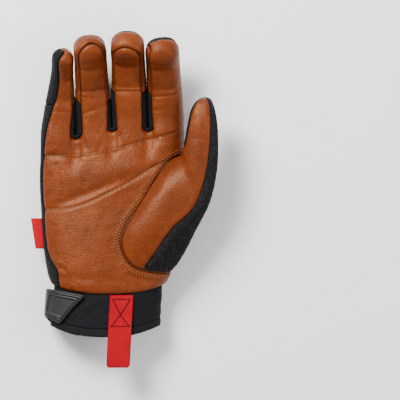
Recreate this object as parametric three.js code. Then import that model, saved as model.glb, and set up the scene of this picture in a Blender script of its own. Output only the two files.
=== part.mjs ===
// A right-hand leather work glove, lying on its back with the palm up.
// Millimetres. +X is the thumb side, +Y runs to the fingertips, +Z is the palm side.
// The hand is one flat pattern skin: a palm tube that splits into four finger tubes. Seam lines cut
// that skin into its sewn panels, each panel gets a wall of its own, and the fingers are curled.

import * as THREE from 'three';

// Driving sizes
const WALL = 1.5;
const CLOTH_WALL = 1.3;
const SEAM_GAP = 0.36;
const FLOOR = -16.5;
const ROUNDNESS = 2.5;
const FINGER_PITCH = 29;
const SLOT_HALF = 3.6;
const SLOT_DEPTH = 2.4;
const STRIP_SHARE = { root: 0.77, tip: 0.83, reach: 30 };
const EDGE_ANGLE = 38;
const WEB_DIP = 0.8;
const ROOT_BLEND = 36;

// Fingers from the thumb side. Roots are heights above the cuff; bends are in degrees, joints in mm from
// the root. A black gusset ends at gussetEnd, and the outer half of the back starts at backSeam. The front
// strip ends stripEnd before the tip. The cap is that long and lies below capZ; the palm leather turns over
// the tip down to tipZ.
const FINGERS = [
  { name: 'index', x: 43.5, rootOut: 132, rootIn: 130, root: 131, length: 80, width: 14, tipWidth: 13.3,
    depth: 12.5, tipDepth: 11.5, lean: -0.055, roll: 9, joints: [[8, 10], [34, 24], [56, 20]],
    gussetEnd: 30, backSeam: 0, stripEnd: -1.5, cap: 12, capZ: -4.5, tipZ: -4 },
  { name: 'middle', x: 14.5, rootOut: 130, rootIn: 130, root: 130, length: 88, width: 14, tipWidth: 13.4,
    depth: 12.5, tipDepth: 11.8, lean: -0.032, roll: -2, joints: [[8, 10], [37, 26], [61, 20]],
    gussetEnd: 33, backSeam: 50, stripEnd: 3, cap: 11, capZ: -8, tipZ: 0 },
  { name: 'ring', x: -14.5, rootOut: 130, rootIn: 124, root: 127, length: 85, width: 14, tipWidth: 13,
    depth: 12.5, tipDepth: 11.4, lean: -0.05, roll: 6, joints: [[10, 9], [36, 22], [59, 18]],
    gussetEnd: 28, backSeam: 44, stripEnd: 0.5, cap: 11, capZ: -8.6, tipZ: 0 },
  { name: 'little', x: -43.5, rootOut: 124, rootIn: 122, root: 124, length: 75, width: 14, tipWidth: 8.2,
    depth: 12.5, tipDepth: 9.2, lean: 0.075, roll: 16, joints: [[10, 8], [30, 18], [50, 16]],
    gussetEnd: 28, backSeam: 24, stripEnd: -1.5, cap: 10, capZ: -6.4, tipZ: -5 },
];
const TIP_TURN = { reach: 12, blend: 8 };
const OUTER_SIDE_SHARE = 0.62;
const BACK_SLOT_SLOPE = 0.5;
const GUSSET_SLANT = 0.5;
const BACK_SEAM_ARCH = 3.5;
const INDEX_PATCH = { x: -4.2, y: 38, halfWidth: 6.6, halfLength: 15.5 };
const PANEL_EDGE = 2.2;
const FAR = 60;

// Palm sections from the cuff to the roots of the fingers.
const PALM = [
  { y: -6, thumbSide: 43.6, littleSide: -50.2, front: 21.6, back: 17.8 },
  { y: 8, thumbSide: 45.2, littleSide: -51.2, front: 21.6, back: 17.9 },
  { y: 30, thumbSide: 49.5, littleSide: -54.6, front: 20.4, back: 18.1 },
  { y: 60, thumbSide: 53, littleSide: -57, front: 18.8, back: 18.2 },
  { y: 95, thumbSide: 55.6, littleSide: -58.6, front: 17, back: 17.4 },
  { y: 135, thumbSide: 57.5, littleSide: -57.5, front: 13.6, back: 14 },
];

// Cuff sections, from its hidden top edge down to the hem.
const CUFF = [
  { y: 9, thumbSide: 40.2, littleSide: -46.2, front: 17, back: 13 },
  { y: -8, thumbSide: 39.6, littleSide: -47.6, front: 17.6, back: 12.8 },
  { y: -36, thumbSide: 37.2, littleSide: -49.6, front: 18.4, back: 12.2 },
];
const CUFF_WALL = 2.4;
const CUFF_SIDES = 32;
const CUFF_ROWS = [0, 0.25, 0.62, 1];
// The hem's lower edge in the middle of the palm, of the back, and at the sides; its binding stands proud.
const HEM = { front: -37.2, back: -38.4, side: -28.6, binding: 6, proud: 0.6 };

// The moulded strap, in rows from its palm end (u 0) to its end on the back (u 1), by angles round the cuff.
const STRAP = [
  { u: 0, topAngle: 107, topY: -4, footAngle: 137, footY: -27 },
  { u: 0.14, topAngle: 128, topY: -1.6, footAngle: 151, footY: -24.4 },
  { u: 0.32, topAngle: 158, topY: 0.6, footAngle: 168, footY: -21.4 },
  { u: 0.48, topAngle: 185, topY: 0.9, footAngle: 185, footY: -21.6 },
  { u: 0.62, topAngle: 206, topY: -1.6, footAngle: 206, footY: -27 },
  { u: 0.82, topAngle: 232, topY: -7.4, footAngle: 230, footY: -34 },
  { u: 1, topAngle: 253, topY: -15, footAngle: 249, footY: -37.6 },
];
const STRAP_COLUMNS = [0, 0.03, 0.05, 0.14, 0.23, 0.31, 0.34, 0.48, 0.6, 0.64, 0.73, 0.82, 0.9, 0.95, 0.97, 1];
const STRAP_ROWS = [0, 0.16, 0.22, 0.5, 0.78, 0.84, 1];
const STRAP_LIFT = 1.5;
const STRAP_BULGE = { rise: 2.6, u: 0.42, width: 0.24 };
const STRAP_THICK = 2.2;
const STRAP_RECESS = { depth: 0.8, edge: 0.2, spans: [[0.04, 0.32], [0.62, 0.96]] };
const PATCH = { from: 209, to: 262, columns: 10, roundFrom: 0.66, topY: -3, footY: -23, slope: -7, lift: 0.32,
  thick: 0.8 };

// Pull tab of doubled webbing: heights, with how far each stands off the cuff's outer face.
const LOOP = { width: 18.8, thick: 1.3, angle: 78, topX: 7.8, footX: 4.8, foldY: -62, steps: 22,
  outside: [[-4, 1.1], [-20, 1.1], [-33, 1.9], [-46, 1.3], [-57, 0.4]],
  inside: [[-61.4, 1.2], [-57, 2.6], [-46, 4], [-36, 5.5], [-28, 5.1], [-14, 4.9]] };

// The side tag: its sewn edge and its free edge at two heights.
const TAG = [{ y: 57.5, inner: -57.1, outer: -65.4 }, { y: 45, inner: -56.15, outer: -63.4 },
  { y: 33, inner: -55.1, outer: -61.6 }];
const TAG_Z = 1.2;
const TAG_THICK = 1;

// How far the back fabric wraps onto the palm along the little-finger edge.
const LITTLE_WRAP = [
  { y: -6, width: 7 }, { y: 8, width: 7.4 }, { y: 15, width: 8.2 }, { y: 24, width: 4.6 },
  { y: 36, width: 2.4 }, { y: 70, width: 2 }, { y: 105, width: 3 }, { y: 130, width: 4.6 },
  { y: 155, width: 5 }, { y: 178, width: 3.6 }, { y: 200, width: 1.6 },
];
// How far the palm leather wraps onto the back along the thumb edge.
const THUMB_WRAP = [
  { y: -6, width: 4 }, { y: 40, width: 4.6 }, { y: 60, width: 3.2 }, { y: 125, width: 2.4 },
  { y: 200, width: 1.6 },
];

// Seam curves in the flat pattern, each a short run of x, y points.
const THUMB_SEAM = [
  [74, 111], [49, 105.5], [36.8, 90.4], [25.6, 72], [12.5, 53.6], [7.2, 41.6], [8.3, 31.2], [14.4, 21],
  [25.6, 15.4], [46, 13.6], [74, 13],
];
const PANEL_TOP = [
  [70, 121], [52, 121], [34, 120.5], [6.6, 115.5], [-12, 109], [-20.5, 103.5], [-27, 96], [-41.7, 73.2],
  [-50, 60], [-64, 38],
];
const PANEL_FOOT = [
  [70, 62], [50.5, 47.6], [38.6, 36.4], [25, 25.6], [17.2, 21.6], [-4, 16.8], [-43, 9.6], [-70, 5],
];
// The hole that the thumb is set into runs round the palm's edge: below topZ it closes as half an ellipse.
const THUMB_HOLE = { lowY: 13.6, highY: 106, topZ: 7, bottomZ: -6.5 };

// Soft folds and dents pressed into the skin, on the palm side.
const FOLDS = [
  { from: [-58, 106], to: [52, 122], depth: 0.9, width: 4 },
  { from: [-56, 63], to: [49, 104], depth: 1.1, width: 4 },
  { from: [-30, 76], to: [20, 78], depth: 1.4, width: 22 },
  { from: [-50, 10], to: [30, 6], depth: 0.7, width: 5 },
];
const FINGER_CREASE = { depth: 1, width: 3.4 };
const CUFF_TUCK = { depth: 2, reach: 5 };

// Thumb sections from root to tip: its contour on the side of the index finger, and on the outer side.
const THUMB = [
  { innerX: 55, innerY: 107.4, outerX: 67.5, outerY: 50, z: 12, front: 17, back: 15 },
  { innerX: 56.4, innerY: 112, outerX: 77.5, outerY: 70, z: 16, front: 15.5, back: 14.5 },
  { innerX: 57.8, innerY: 118, outerX: 83, outerY: 93, z: 19, front: 14, back: 14 },
  { innerX: 59.4, innerY: 126, outerX: 84.4, outerY: 113, z: 20.5, front: 13, back: 13 },
  { innerX: 61.2, innerY: 135.5, outerX: 83.8, outerY: 131, z: 21.5, front: 12, back: 12 },
  { innerX: 63.4, innerY: 144.5, outerX: 81.8, outerY: 143.5, z: 22, front: 10, back: 10 },
  { innerX: 67.6, innerY: 151, outerX: 78.6, outerY: 151, z: 22.2, front: 6.8, back: 6.8 },
];
const THUMB_TIP = [73.6, 154.6, 22.3];
const SIDES = 16;
const ROWS = 11;
const LAST_ROW = 0.965;
const INSET = 1.5;
const WIDEST = 0.985;
const MOUND = [{ share: 0.18, rise: 4.5 }, { share: 0.5, rise: 5.5 }];
const MOUND_SIDE = 0.3;
const MOUND_REACH = 50;

// Borders of the thumb's panels: share of the way from seam to tip, and angles round the thumb in degrees.
const THUMB_BORDERS = [
  { share: 0, pileFront: 132, pileBack: 186, gussetFront: 20, gussetBack: -20 },
  { share: 0.3, pileFront: 128, pileBack: 212, gussetFront: 22, gussetBack: -24 },
  { share: 0.6, pileFront: 138, pileBack: 234, gussetFront: 26, gussetBack: -38 },
  { share: 1, pileFront: 150, pileBack: 240, gussetFront: 30, gussetBack: -48 },
];
const GUSSET_START = 0.46;
const GUSSET_START_SLOPE = 300;
const PILE_START = 0.045;
const PILE_START_SLOPE = 90;
const THUMB_SPLIT = 168;

// Small helpers
const rad = Math.PI / 180;
const clamp = (v, low, high) => Math.min(high, Math.max(low, v));
const mix = (a, b, share) => a + (b - a) * share;
const ease = (v) => clamp(v, 0, 1) ** 2 * (3 - 2 * clamp(v, 0, 1));
const power = (v, exponent) => Math.sign(v) * Math.abs(v) ** exponent;
const mixPoint = (a, b, share) => a.map((v, i) => mix(v, b[i], share));
const along = (point, direction, distance) => point.map((v, i) => v + direction[i] * distance);

// One named column of a table, read at a value of its first column, with smooth blends between the rows.
function read(table, column, value, key = 'y') {
  const rows = table[0][key] < table[table.length - 1][key] ? table : [...table].reverse();
  let i = 0;
  while (i < rows.length - 2 && value > rows[i + 1][key]) i += 1;
  const share = clamp((value - rows[i][key]) / (rows[i + 1][key] - rows[i][key]), 0, 1);
  const slope = (k) => {
    const low = Math.max(0, k - 1);
    const high = Math.min(rows.length - 1, k + 1);
    return (rows[high][column] - rows[low][column]) / (rows[high][key] - rows[low][key]);
  };
  const step = rows[i + 1][key] - rows[i][key];
  const [a, b] = [rows[i][column], rows[i + 1][column]];
  const [p, q] = [slope(i) * step, slope(i + 1) * step];
  const s = share;
  return (2 * s ** 3 - 3 * s * s + 1) * a + (s ** 3 - 2 * s * s + s) * p
    + (3 * s * s - 2 * s ** 3) * b + (s ** 3 - s * s) * q;
}

// Signed distance in the pattern plane from a seam curve: positive on the left of its direction.
function seamDistance(points) {
  const curve = new THREE.SplineCurve(points.map(([x, y]) => new THREE.Vector2(x, y)));
  const line = curve.getPoints(points.length * 5);
  return (x, y) => {
    let best = Infinity;
    let side = 1;
    for (let i = 0; i + 1 < line.length; i += 1) {
      const [dx, dy] = [line[i + 1].x - line[i].x, line[i + 1].y - line[i].y];
      const share = clamp(((x - line[i].x) * dx + (y - line[i].y) * dy) / (dx * dx + dy * dy), 0, 1);
      const distance = Math.hypot(x - line[i].x - share * dx, y - line[i].y - share * dy);
      if (distance < best) {
        best = distance;
        side = dx * (y - line[i].y) - dy * (x - line[i].x) > 0 ? 1 : -1;
      }
    }
    return side * best;
  };
}

// A rounded section: angle 0 is the thumb side, 90 the palm side.
function sectionPoint(angle, halfWidth, front, back) {
  const z = power(Math.sin(angle * rad), 2 / ROUNDNESS);
  return [halfWidth * power(Math.cos(angle * rad), 2 / ROUNDNESS), z * (z > 0 ? front : back)];
}

// The palm or cuff section at height y.
function tubeSection(table, y) {
  const [thumbSide, littleSide] = [read(table, 'thumbSide', y), read(table, 'littleSide', y)];
  return {
    x: (thumbSide + littleSide) / 2,
    halfWidth: (thumbSide - littleSide) / 2,
    front: read(table, 'front', y),
    back: read(table, 'back', y),
  };
}

function tubePoint(table, y, angle) {
  const section = tubeSection(table, y);
  const [x, z] = sectionPoint(angle, section.halfWidth, section.front, section.back);
  return [section.x + x, y, z];
}

// Finger sizes at distance t from the root. The last part closes as a dome.
function fingerSection(finger, t) {
  const share = clamp(t / finger.length, 0, 1);
  const dome = finger.tipWidth * 0.95;
  const into = clamp((t - (finger.length - dome)) / dome, 0, 1);
  const close = Math.sqrt(Math.max(0, 1 - into ** 2.3));
  return {
    halfWidth: mix(finger.width, finger.tipWidth, ease(share * 1.25)) * close,
    depth: mix(finger.depth, finger.tipDepth, ease(share * 1.25)) * close,
  };
}

function fingerPoint(finger, t, angle) {
  const section = fingerSection(finger, t);
  const [x, z] = sectionPoint(angle, section.halfWidth, section.depth, section.depth);
  const rootHeight = mix(finger.rootIn, finger.rootOut, (x / finger.width + 1) / 2);
  return [finger.x + x, mix(rootHeight, finger.root + finger.length, t / finger.length), z];
}

// A skin is a triangle mesh whose vertices keep their flat place, their finger and, later, their final place.
class Skin {
  constructor() {
    this.points = [];
    this.triangles = [];
  }

  add(flat, owner = {}, turn = undefined) {
    this.points.push({ flat, owner, turn });
    return this.points.length - 1;
  }

  quad(a, b, c, d) {
    this.triangles.push([a, b, c], [a, c, d]);
  }

  // Vertex normals of the places that a key names, pointing out of the glove.
  normals(key) {
    const sums = this.points.map(() => [0, 0, 0]);
    this.triangles.forEach((triangle) => {
      const [a, b, c] = triangle.map((i) => new THREE.Vector3(...this.points[i][key]));
      const face = b.sub(a).cross(c.sub(a));
      triangle.forEach((i) => { sums[i] = [sums[i][0] + face.x, sums[i][1] + face.y, sums[i][2] + face.z]; });
    });
    return sums.map((s) => {
      const size = Math.hypot(...s) || 1;
      return s.map((v) => v / size);
    });
  }

  mesh() {
    const geometry = new THREE.BufferGeometry();
    const places = this.points.flatMap((point) => point.place);
    geometry.setAttribute('position', new THREE.Float32BufferAttribute(places, 3));
    geometry.setIndex(this.triangles.flat());
    return new THREE.Mesh(geometry, new THREE.MeshBasicMaterial({ side: THREE.DoubleSide }));
  }
}

// Angles round a finger: palm strip, little-finger side, back strip, thumb side, each in equal parts.
const ARC_PARTS = 3;
const RING_ANGLES = [];
[[EDGE_ANGLE, 180 - EDGE_ANGLE], [180 - EDGE_ANGLE, 180 + EDGE_ANGLE], [180 + EDGE_ANGLE, 360 - EDGE_ANGLE],
  [360 - EDGE_ANGLE, 360 + EDGE_ANGLE]].forEach(([from, to]) => {
  for (let i = 0; i < ARC_PARTS; i += 1) RING_ANGLES.push(mix(from, to, i / ARC_PARTS));
});
const RING = RING_ANGLES.length;
const FINGER_STEP = 8.4;
const PALM_ROWS = [0, 0.035, 0.09, 0.18, 0.28, 0.38, 0.49, 0.6, 0.7, 0.8, 0.89, 0.96];

// The bottom edge of the palm skin dips in the middle of the palm.
function bottomEdge(angle) {
  const side = Math.cos(angle * rad) ** 2;
  return Math.sin(angle * rad) > 0 ? mix(-3.4, 4.4, side) : mix(-1, 4.4, side);
}

// The angle round the palm below a point at the fingers' roots. Columns keep their share of the palm's width,
// and the outer sides of the index and little fingers spread evenly round the palm's edges.
function columnAngle({ flat, turn }) {
  const section = tubeSection(PALM, flat[1]);
  const cosineOf = (x) => power((x - section.x) / section.halfWidth, ROUNDNESS / 2);
  const angleOf = (x) => Math.acos(clamp(cosineOf(x), -1, 1)) / rad;
  const spread = turn === undefined ? FAR : ((turn + 180) % 360) - 180;
  const edge = FINGERS[0].width * Math.cos(EDGE_ANGLE * rad) ** (2 / ROUNDNESS);
  if (Math.abs(spread) < EDGE_ANGLE && flat[0] > FINGERS[0].x) {
    return (spread / EDGE_ANGLE) * angleOf(FINGERS[0].x + edge);
  }
  if (turn > 180 - EDGE_ANGLE && turn < 180 + EDGE_ANGLE && flat[0] < FINGERS[3].x) {
    return 180 + ((turn - 180) / EDGE_ANGLE) * (180 - angleOf(FINGERS[3].x - edge));
  }
  return flat[2] > 0 ? angleOf(flat[0]) : -angleOf(flat[0]);
}

// One column of the palm, from the cuff edge to its place at the root of a finger.
function palmColumn(skin, root) {
  const top = root.flat;
  const angle = columnAngle(root);
  const bottom = bottomEdge(angle);
  return PALM_ROWS.map((row) => {
    const y = mix(bottom, top[1], row);
    const palm = tubePoint(PALM, y, angle);
    const blend = ease((y - top[1] + ROOT_BLEND) / ROOT_BLEND);
    return skin.add([mix(palm[0], top[0], blend), y, mix(palm[2], top[2], blend)], { palm: true, bottom });
  });
}

// The whole hand skin: finger tubes, the webs between them and the palm tube.
function handSkin() {
  const skin = new Skin();
  const roots = FINGERS.map((finger) => {
    const rows = Math.round(finger.length / FINGER_STEP);
    const dome = [0.82, 0.91, 0.965];
    const stops = [...Array(rows).keys()].map((i) => i / rows).filter((share) => share < 0.78).concat(dome);
    const rings = stops.map((share) => RING_ANGLES.map((angle) => (
      skin.add(fingerPoint(finger, share * finger.length, angle), { finger }, angle % 360)
    )));
    const tip = skin.add([finger.x, finger.root + finger.length, 0], { finger });
    rings.forEach((ring, k) => {
      for (let i = 0; i < RING; i += 1) {
        const j = (i + 1) % RING;
        if (k + 1 < rings.length) skin.quad(ring[i], rings[k + 1][i], rings[k + 1][j], ring[j]);
        else skin.triangles.push([ring[i], tip, ring[j]]);
      }
    });
    return rings[0];
  });

  // Webs: the little-finger side of one finger faces the thumb side of the next.
  const web = (a, b) => {
    const steps = [...Array(ARC_PARTS + 1).keys()];
    const left = steps.map((i) => roots[a][ARC_PARTS + i]);
    const right = steps.map((i) => roots[b][(RING - i) % RING]);
    const middle = left.map((index, i) => {
      const [p, q] = [skin.points[index].flat, skin.points[right[i]].flat];
      return skin.add([(p[0] + q[0]) / 2, (p[1] + q[1]) / 2 - WEB_DIP, (p[2] + q[2]) / 2], { palm: true });
    });
    for (let i = 0; i < ARC_PARTS; i += 1) {
      skin.quad(left[i], left[i + 1], middle[i + 1], middle[i]);
      skin.quad(middle[i], middle[i + 1], right[i + 1], right[i]);
    }
    return middle;
  };
  const webs = [web(0, 1), web(1, 2), web(2, 3)];

  // The palm's top edge, once round: palm side from the thumb to the little finger, then the back.
  const loop = [];
  const arc = (finger, from, to) => {
    for (let i = from; i <= to; i += 1) loop.push(roots[finger][i % RING]);
  };
  arc(0, 3 * ARC_PARTS, 5 * ARC_PARTS);
  loop.push(webs[0][0]);
  arc(1, 0, ARC_PARTS);
  loop.push(webs[1][0]);
  arc(2, 0, ARC_PARTS);
  loop.push(webs[2][0]);
  arc(3, 0, 3 * ARC_PARTS);
  loop.push(webs[2][ARC_PARTS]);
  arc(2, 2 * ARC_PARTS, 3 * ARC_PARTS);
  loop.push(webs[1][ARC_PARTS]);
  arc(1, 2 * ARC_PARTS, 3 * ARC_PARTS);
  loop.push(webs[0][ARC_PARTS]);
  arc(0, 2 * ARC_PARTS, 3 * ARC_PARTS - 1);
  const columns = loop.map((index) => [...palmColumn(skin, skin.points[index]), index]);
  columns.forEach((column, k) => {
    const next = columns[(k + 1) % columns.length];
    for (let i = 0; i + 1 < column.length; i += 1) skin.quad(column[i], column[i + 1], next[i + 1], next[i]);
  });
  return skin;
}

// Pressed folds, finger creases and the tuck over the cuff, as a depth at a flat place.
function foldDepth(point) {
  const [x, y, z] = point.flat;
  let depth = 0;
  if (z > 0) {
    FOLDS.forEach((fold) => {
      const [dx, dy] = [fold.to[0] - fold.from[0], fold.to[1] - fold.from[1]];
      const share = clamp(((x - fold.from[0]) * dx + (y - fold.from[1]) * dy) / (dx * dx + dy * dy), 0, 1);
      const away = Math.hypot(x - fold.from[0] - share * dx, y - fold.from[1] - share * dy);
      depth += fold.depth * Math.exp(-((away / fold.width) ** 2));
    });
    if (point.owner.finger) {
      point.owner.finger.joints.slice(1).forEach(([place]) => {
        const away = y - point.owner.finger.root - place;
        depth += FINGER_CREASE.depth * Math.exp(-((away / FINGER_CREASE.width) ** 2)) * ease(z / 6);
      });
    }
  }
  if (point.owner.bottom !== undefined) {
    depth += CUFF_TUCK.depth * Math.exp(-(((y - point.owner.bottom) / CUFF_TUCK.reach) ** 2));
  }
  return depth;
}

// Curl: the finger's axis bends towards the palm at its joints, with a lean and a roll.
function curl(point) {
  const { finger } = point.owner;
  const [x, y, z] = point.flat;
  if (!finger || y <= finger.root) return point.flat;
  const t = y - finger.root;
  const bend = (s) => finger.joints.reduce(
    (sum, [place, angle]) => sum + angle * ease((s - place) / 14 + 0.5), 0);
  let [forward, up] = [0, 0];
  const steps = Math.max(1, Math.ceil(t / 0.5));
  for (let i = 0; i < steps; i += 1) {
    const angle = bend(((i + 0.5) * t) / steps) * rad;
    forward += (Math.cos(angle) * t) / steps;
    up += (Math.sin(angle) * t) / steps;
  }
  const roll = -finger.roll * rad * ease(t / 45);
  const across = (x - finger.x) * Math.cos(roll) - z * Math.sin(roll);
  const outward = (x - finger.x) * Math.sin(roll) + z * Math.cos(roll);
  const angle = bend(t) * rad;
  return [
    finger.x + across + finger.lean * Math.max(0, forward - 4),
    finger.root + forward - outward * Math.sin(angle),
    up + outward * Math.cos(angle),
  ];
}

// Presses the folds in, curls the fingers and rests the skin on the floor.
function shape(skin) {
  const flatNormals = skin.normals('flat');
  skin.points.forEach((point, i) => {
    const pressed = { ...point, flat: along(point.flat, flatNormals[i], -foldDepth(point)) };
    point.place = curl(pressed);
    point.place[2] = Math.max(point.place[2], FLOOR);
  });
  skin.normals('place').forEach((normal, i) => { skin.points[i].normal = normal; });
  return skin;
}

// Cuts a skin at a field's level and keeps the part below it.
function keepBelow(skin, field, level) {
  const kept = new Skin();
  const values = skin.points.map((point) => {
    const value = field(point) - level;
    return Math.abs(value) < 0.02 ? 0.02 : value;
  });
  const moved = new Map();
  const keep = (i) => {
    if (!moved.has(i)) moved.set(i, kept.points.push(skin.points[i]) - 1);
    return moved.get(i);
  };
  const cross = (i, j) => {
    const key = i < j ? `${i}_${j}` : `${j}_${i}`;
    if (!moved.has(key)) {
      const [low, high] = i < j ? [i, j] : [j, i];
      const share = values[low] / (values[low] - values[high]);
      const [p, q] = [skin.points[low], skin.points[high]];
      const normal = mixPoint(p.normal, q.normal, share);
      const size = Math.hypot(...normal);
      moved.set(key, kept.points.push({
        flat: mixPoint(p.flat, q.flat, share),
        place: mixPoint(p.place, q.place, share),
        normal: normal.map((v) => v / size),
        owner: p.owner.finger ? p.owner : q.owner,
        around: p.around === undefined ? undefined : mixPoint(p.around, q.around, share),
      }) - 1);
    }
    return moved.get(key);
  };
  skin.triangles.forEach((triangle) => {
    const inside = triangle.filter((i) => values[i] < 0).length;
    if (inside === 3) kept.triangles.push(triangle.map(keep));
    if (inside === 1 || inside === 2) {
      let start = 0;
      while ((values[triangle[start]] < 0) !== (inside === 1)
        || (inside === 2 && values[triangle[start]] < 0)) start += 1;
      const [a, b, c] = [0, 1, 2].map((k) => triangle[(start + k) % 3]);
      if (inside === 1) kept.triangles.push([keep(a), cross(a, b), cross(a, c)]);
      else kept.quad(cross(a, b), keep(b), keep(c), cross(a, c));
    }
  });
  return kept;
}

// The largest connected piece of a skin.
function largestPiece(skin) {
  const parent = skin.points.map((_, i) => i);
  const rootOf = (i) => {
    let r = i;
    while (parent[r] !== r) r = parent[r];
    parent[i] = r;
    return r;
  };
  skin.triangles.forEach(([a, b, c]) => {
    parent[rootOf(a)] = rootOf(b);
    parent[rootOf(b)] = rootOf(c);
  });
  const counts = new Map();
  skin.triangles.forEach(([a]) => counts.set(rootOf(a), (counts.get(rootOf(a)) || 0) + 1));
  const largest = [...counts].sort((p, q) => q[1] - p[1])[0][0];
  const kept = new Skin();
  kept.points = skin.points;
  kept.triangles = skin.triangles.filter(([a]) => rootOf(a) === largest);
  return kept;
}

// A wall between two offsets from the skin, closed along the skin's edges.
function wallGeometry(skin, outer, inner) {
  const level = (value, point) => (typeof value === 'function' ? value(point) : value);
  const used = [...new Set(skin.triangles.flat())];
  const number = new Map(used.map((i, k) => [i, k]));
  const count = used.length;
  const places = [outer, inner].flatMap((offset) => used.flatMap((i) => {
    const point = skin.points[i];
    return along(point.place, point.normal, level(offset, point));
  }));
  const faces = skin.triangles.map((triangle) => triangle.map((i) => number.get(i)));
  const edges = new Set(faces.flatMap(([a, b, c]) => [`${a}_${b}`, `${b}_${c}`, `${c}_${a}`]));
  const index = faces.flatMap(([a, b, c]) => [a, b, c, a + count, c + count, b + count]);
  edges.forEach((edge) => {
    const [a, b] = edge.split('_').map(Number);
    if (!edges.has(`${b}_${a}`)) index.push(b, a, a + count, b, a + count, b + count);
  });
  const geometry = new THREE.BufferGeometry();
  geometry.setAttribute('position', new THREE.Float32BufferAttribute(places, 3));
  geometry.setIndex(index);
  geometry.computeVertexNormals();
  return geometry;
}

// Fields of the hand skin: each is negative on one side of a seam and in millimetres across it.
const thumbSeam = seamDistance(THUMB_SEAM);
const panelTop = seamDistance(PANEL_TOP);
const panelFoot = seamDistance(PANEL_FOOT);
const SLOTS = [0, 1, 2].map((i) => ({
  name: `${FINGERS[i].name}_${FINGERS[i + 1].name}`,
  x: (FINGERS[i].x + FINGERS[i + 1].x) / 2,
  y: FINGERS[i].rootIn,
}));
const BAND_REACH = FINGER_PITCH / 2;

const isOuterSide = (finger, x) => (finger.name === 'index' && x > finger.x)
  || (finger.name === 'little' && x < finger.x);
const rootHeight = (point) => point.flat[1] - point.owner.finger.root;

// Negative on the front and back strips, positive in the side bands, in the slots and over the fingertips.
function bandField(point) {
  const [x, y, z] = point.flat;
  const { finger } = point.owner;
  if (finger) {
    const t = y - finger.root;
    const share = mix(STRIP_SHARE.root, STRIP_SHARE.tip, ease(t / STRIP_SHARE.reach));
    const strip = share * mix(finger.width, finger.tipWidth, ease((t / finger.length) * 1.25));
    const stripEnd = finger.length - finger.stripEnd - STRIP_SHARE.tip * finger.tipWidth;
    const side = (x - finger.x) * (isOuterSide(finger, x) ? OUTER_SIDE_SHARE : 1);
    return Math.hypot(side, Math.max(0, t - stripEnd)) - strip;
  }
  return Math.max(...SLOTS.map((slot) => (z > 0
    ? SLOT_HALF - Math.hypot(x - slot.x, (Math.max(0, slot.y - y) * SLOT_HALF) / SLOT_DEPTH)
    : SLOT_HALF - Math.abs(x - slot.x) - Math.max(0, slot.y - y) * BACK_SLOT_SLOPE)));
}

// Negative on the palm leather, positive on the back of the hand.
function sideField(point) {
  const [x, y, z] = point.flat;
  const { finger } = point.owner;
  const palm = tubeSection(PALM, y);
  const overTip = finger ? ease((rootHeight(point) - finger.length + TIP_TURN.reach) / TIP_TURN.blend) : 0;
  if (z >= (finger ? finger.tipZ * overTip : 0)) {
    if (finger && finger.name !== 'little') return -FAR;
    const edge = finger ? finger.x - fingerSection(finger, y - finger.root).halfWidth : palm.x - palm.halfWidth;
    return edge + read(LITTLE_WRAP, 'width', y) - x;
  }
  if (finger && finger.name !== 'index') return FAR;
  const edge = finger ? finger.x + fingerSection(finger, y - finger.root).halfWidth : palm.x + palm.halfWidth;
  return edge - read(THUMB_WRAP, 'width', y) - x;
}

// Negative inside the hole where the thumb is set in.
function thumbHoleField(point) {
  const [x, y, z] = point.flat;
  if (point.owner.finger) return FAR;
  const { lowY, highY, topZ, bottomZ } = THUMB_HOLE;
  if (z >= topZ) return -thumbSeam(x, y);
  const reach = Math.hypot((2 * y - lowY - highY) / (highY - lowY), (topZ - z) / (topZ - bottomZ));
  return Math.max(-thumbSeam(x, y), (reach - 1) * (topZ - bottomZ));
}

// Negative in the leather bands beyond the black gussets.
function wrapField(point) {
  const { finger } = point.owner;
  return finger ? finger.gussetEnd - rootHeight(point) - point.flat[2] * GUSSET_SLANT : FAR;
}

// Negative on the caps over the backs of the fingertips.
function capField(point) {
  const { finger } = point.owner;
  if (!finger) return FAR;
  return Math.max(finger.length - finger.cap - rootHeight(point), point.flat[2] - finger.capZ);
}

// Negative on the smooth outer half of a finger's back, past its arched seam.
function outerBackField(point) {
  const { finger } = point.owner;
  if (!finger || !finger.backSeam) return FAR;
  const across = (point.flat[0] - finger.x) / finger.width;
  return finger.backSeam + BACK_SEAM_ARCH * (1 - across * across) - rootHeight(point);
}

// Negative inside the oval patch on the index finger.
function patchField(point) {
  const { finger } = point.owner;
  if (!finger || finger.name !== 'index') return FAR;
  const across = (point.flat[0] - finger.x - INDEX_PATCH.x) / INDEX_PATCH.halfWidth;
  const up = (rootHeight(point) - INDEX_PATCH.y) / INDEX_PATCH.halfLength;
  return (Math.hypot(across, up) - 1) * INDEX_PATCH.halfWidth;
}

// Negative on the black cloth, which lies above the red panel and runs down its little-finger edge.
function clothField(point) {
  const [x, y, z] = point.flat;
  if (point.owner.finger) return -FAR;
  const palm = tubeSection(PALM, y);
  return Math.min(panelTop(x, y), x - (palm.x - palm.halfWidth + PANEL_EDGE), x < 0 ? -z : FAR);
}

// Negative on the leather at the wrist, below the red panel.
const wristField = (point) => -panelFoot(point.flat[0], point.flat[1]);

// Both sides of a seam, each half a gap away from it, cut from one skin so that they can't meet.
function split(skin, field) {
  const below = keepBelow(skin, field, -SEAM_GAP / 2);
  const above = keepBelow(skin, (point) => -field(point), -SEAM_GAP / 2);
  return [below, above];
}

const only = (skin, test) => {
  const kept = new Skin();
  kept.points = skin.points;
  kept.triangles = skin.triangles.filter((triangle) => triangle.every((i) => test(skin.points[i])));
  return kept;
};

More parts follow.
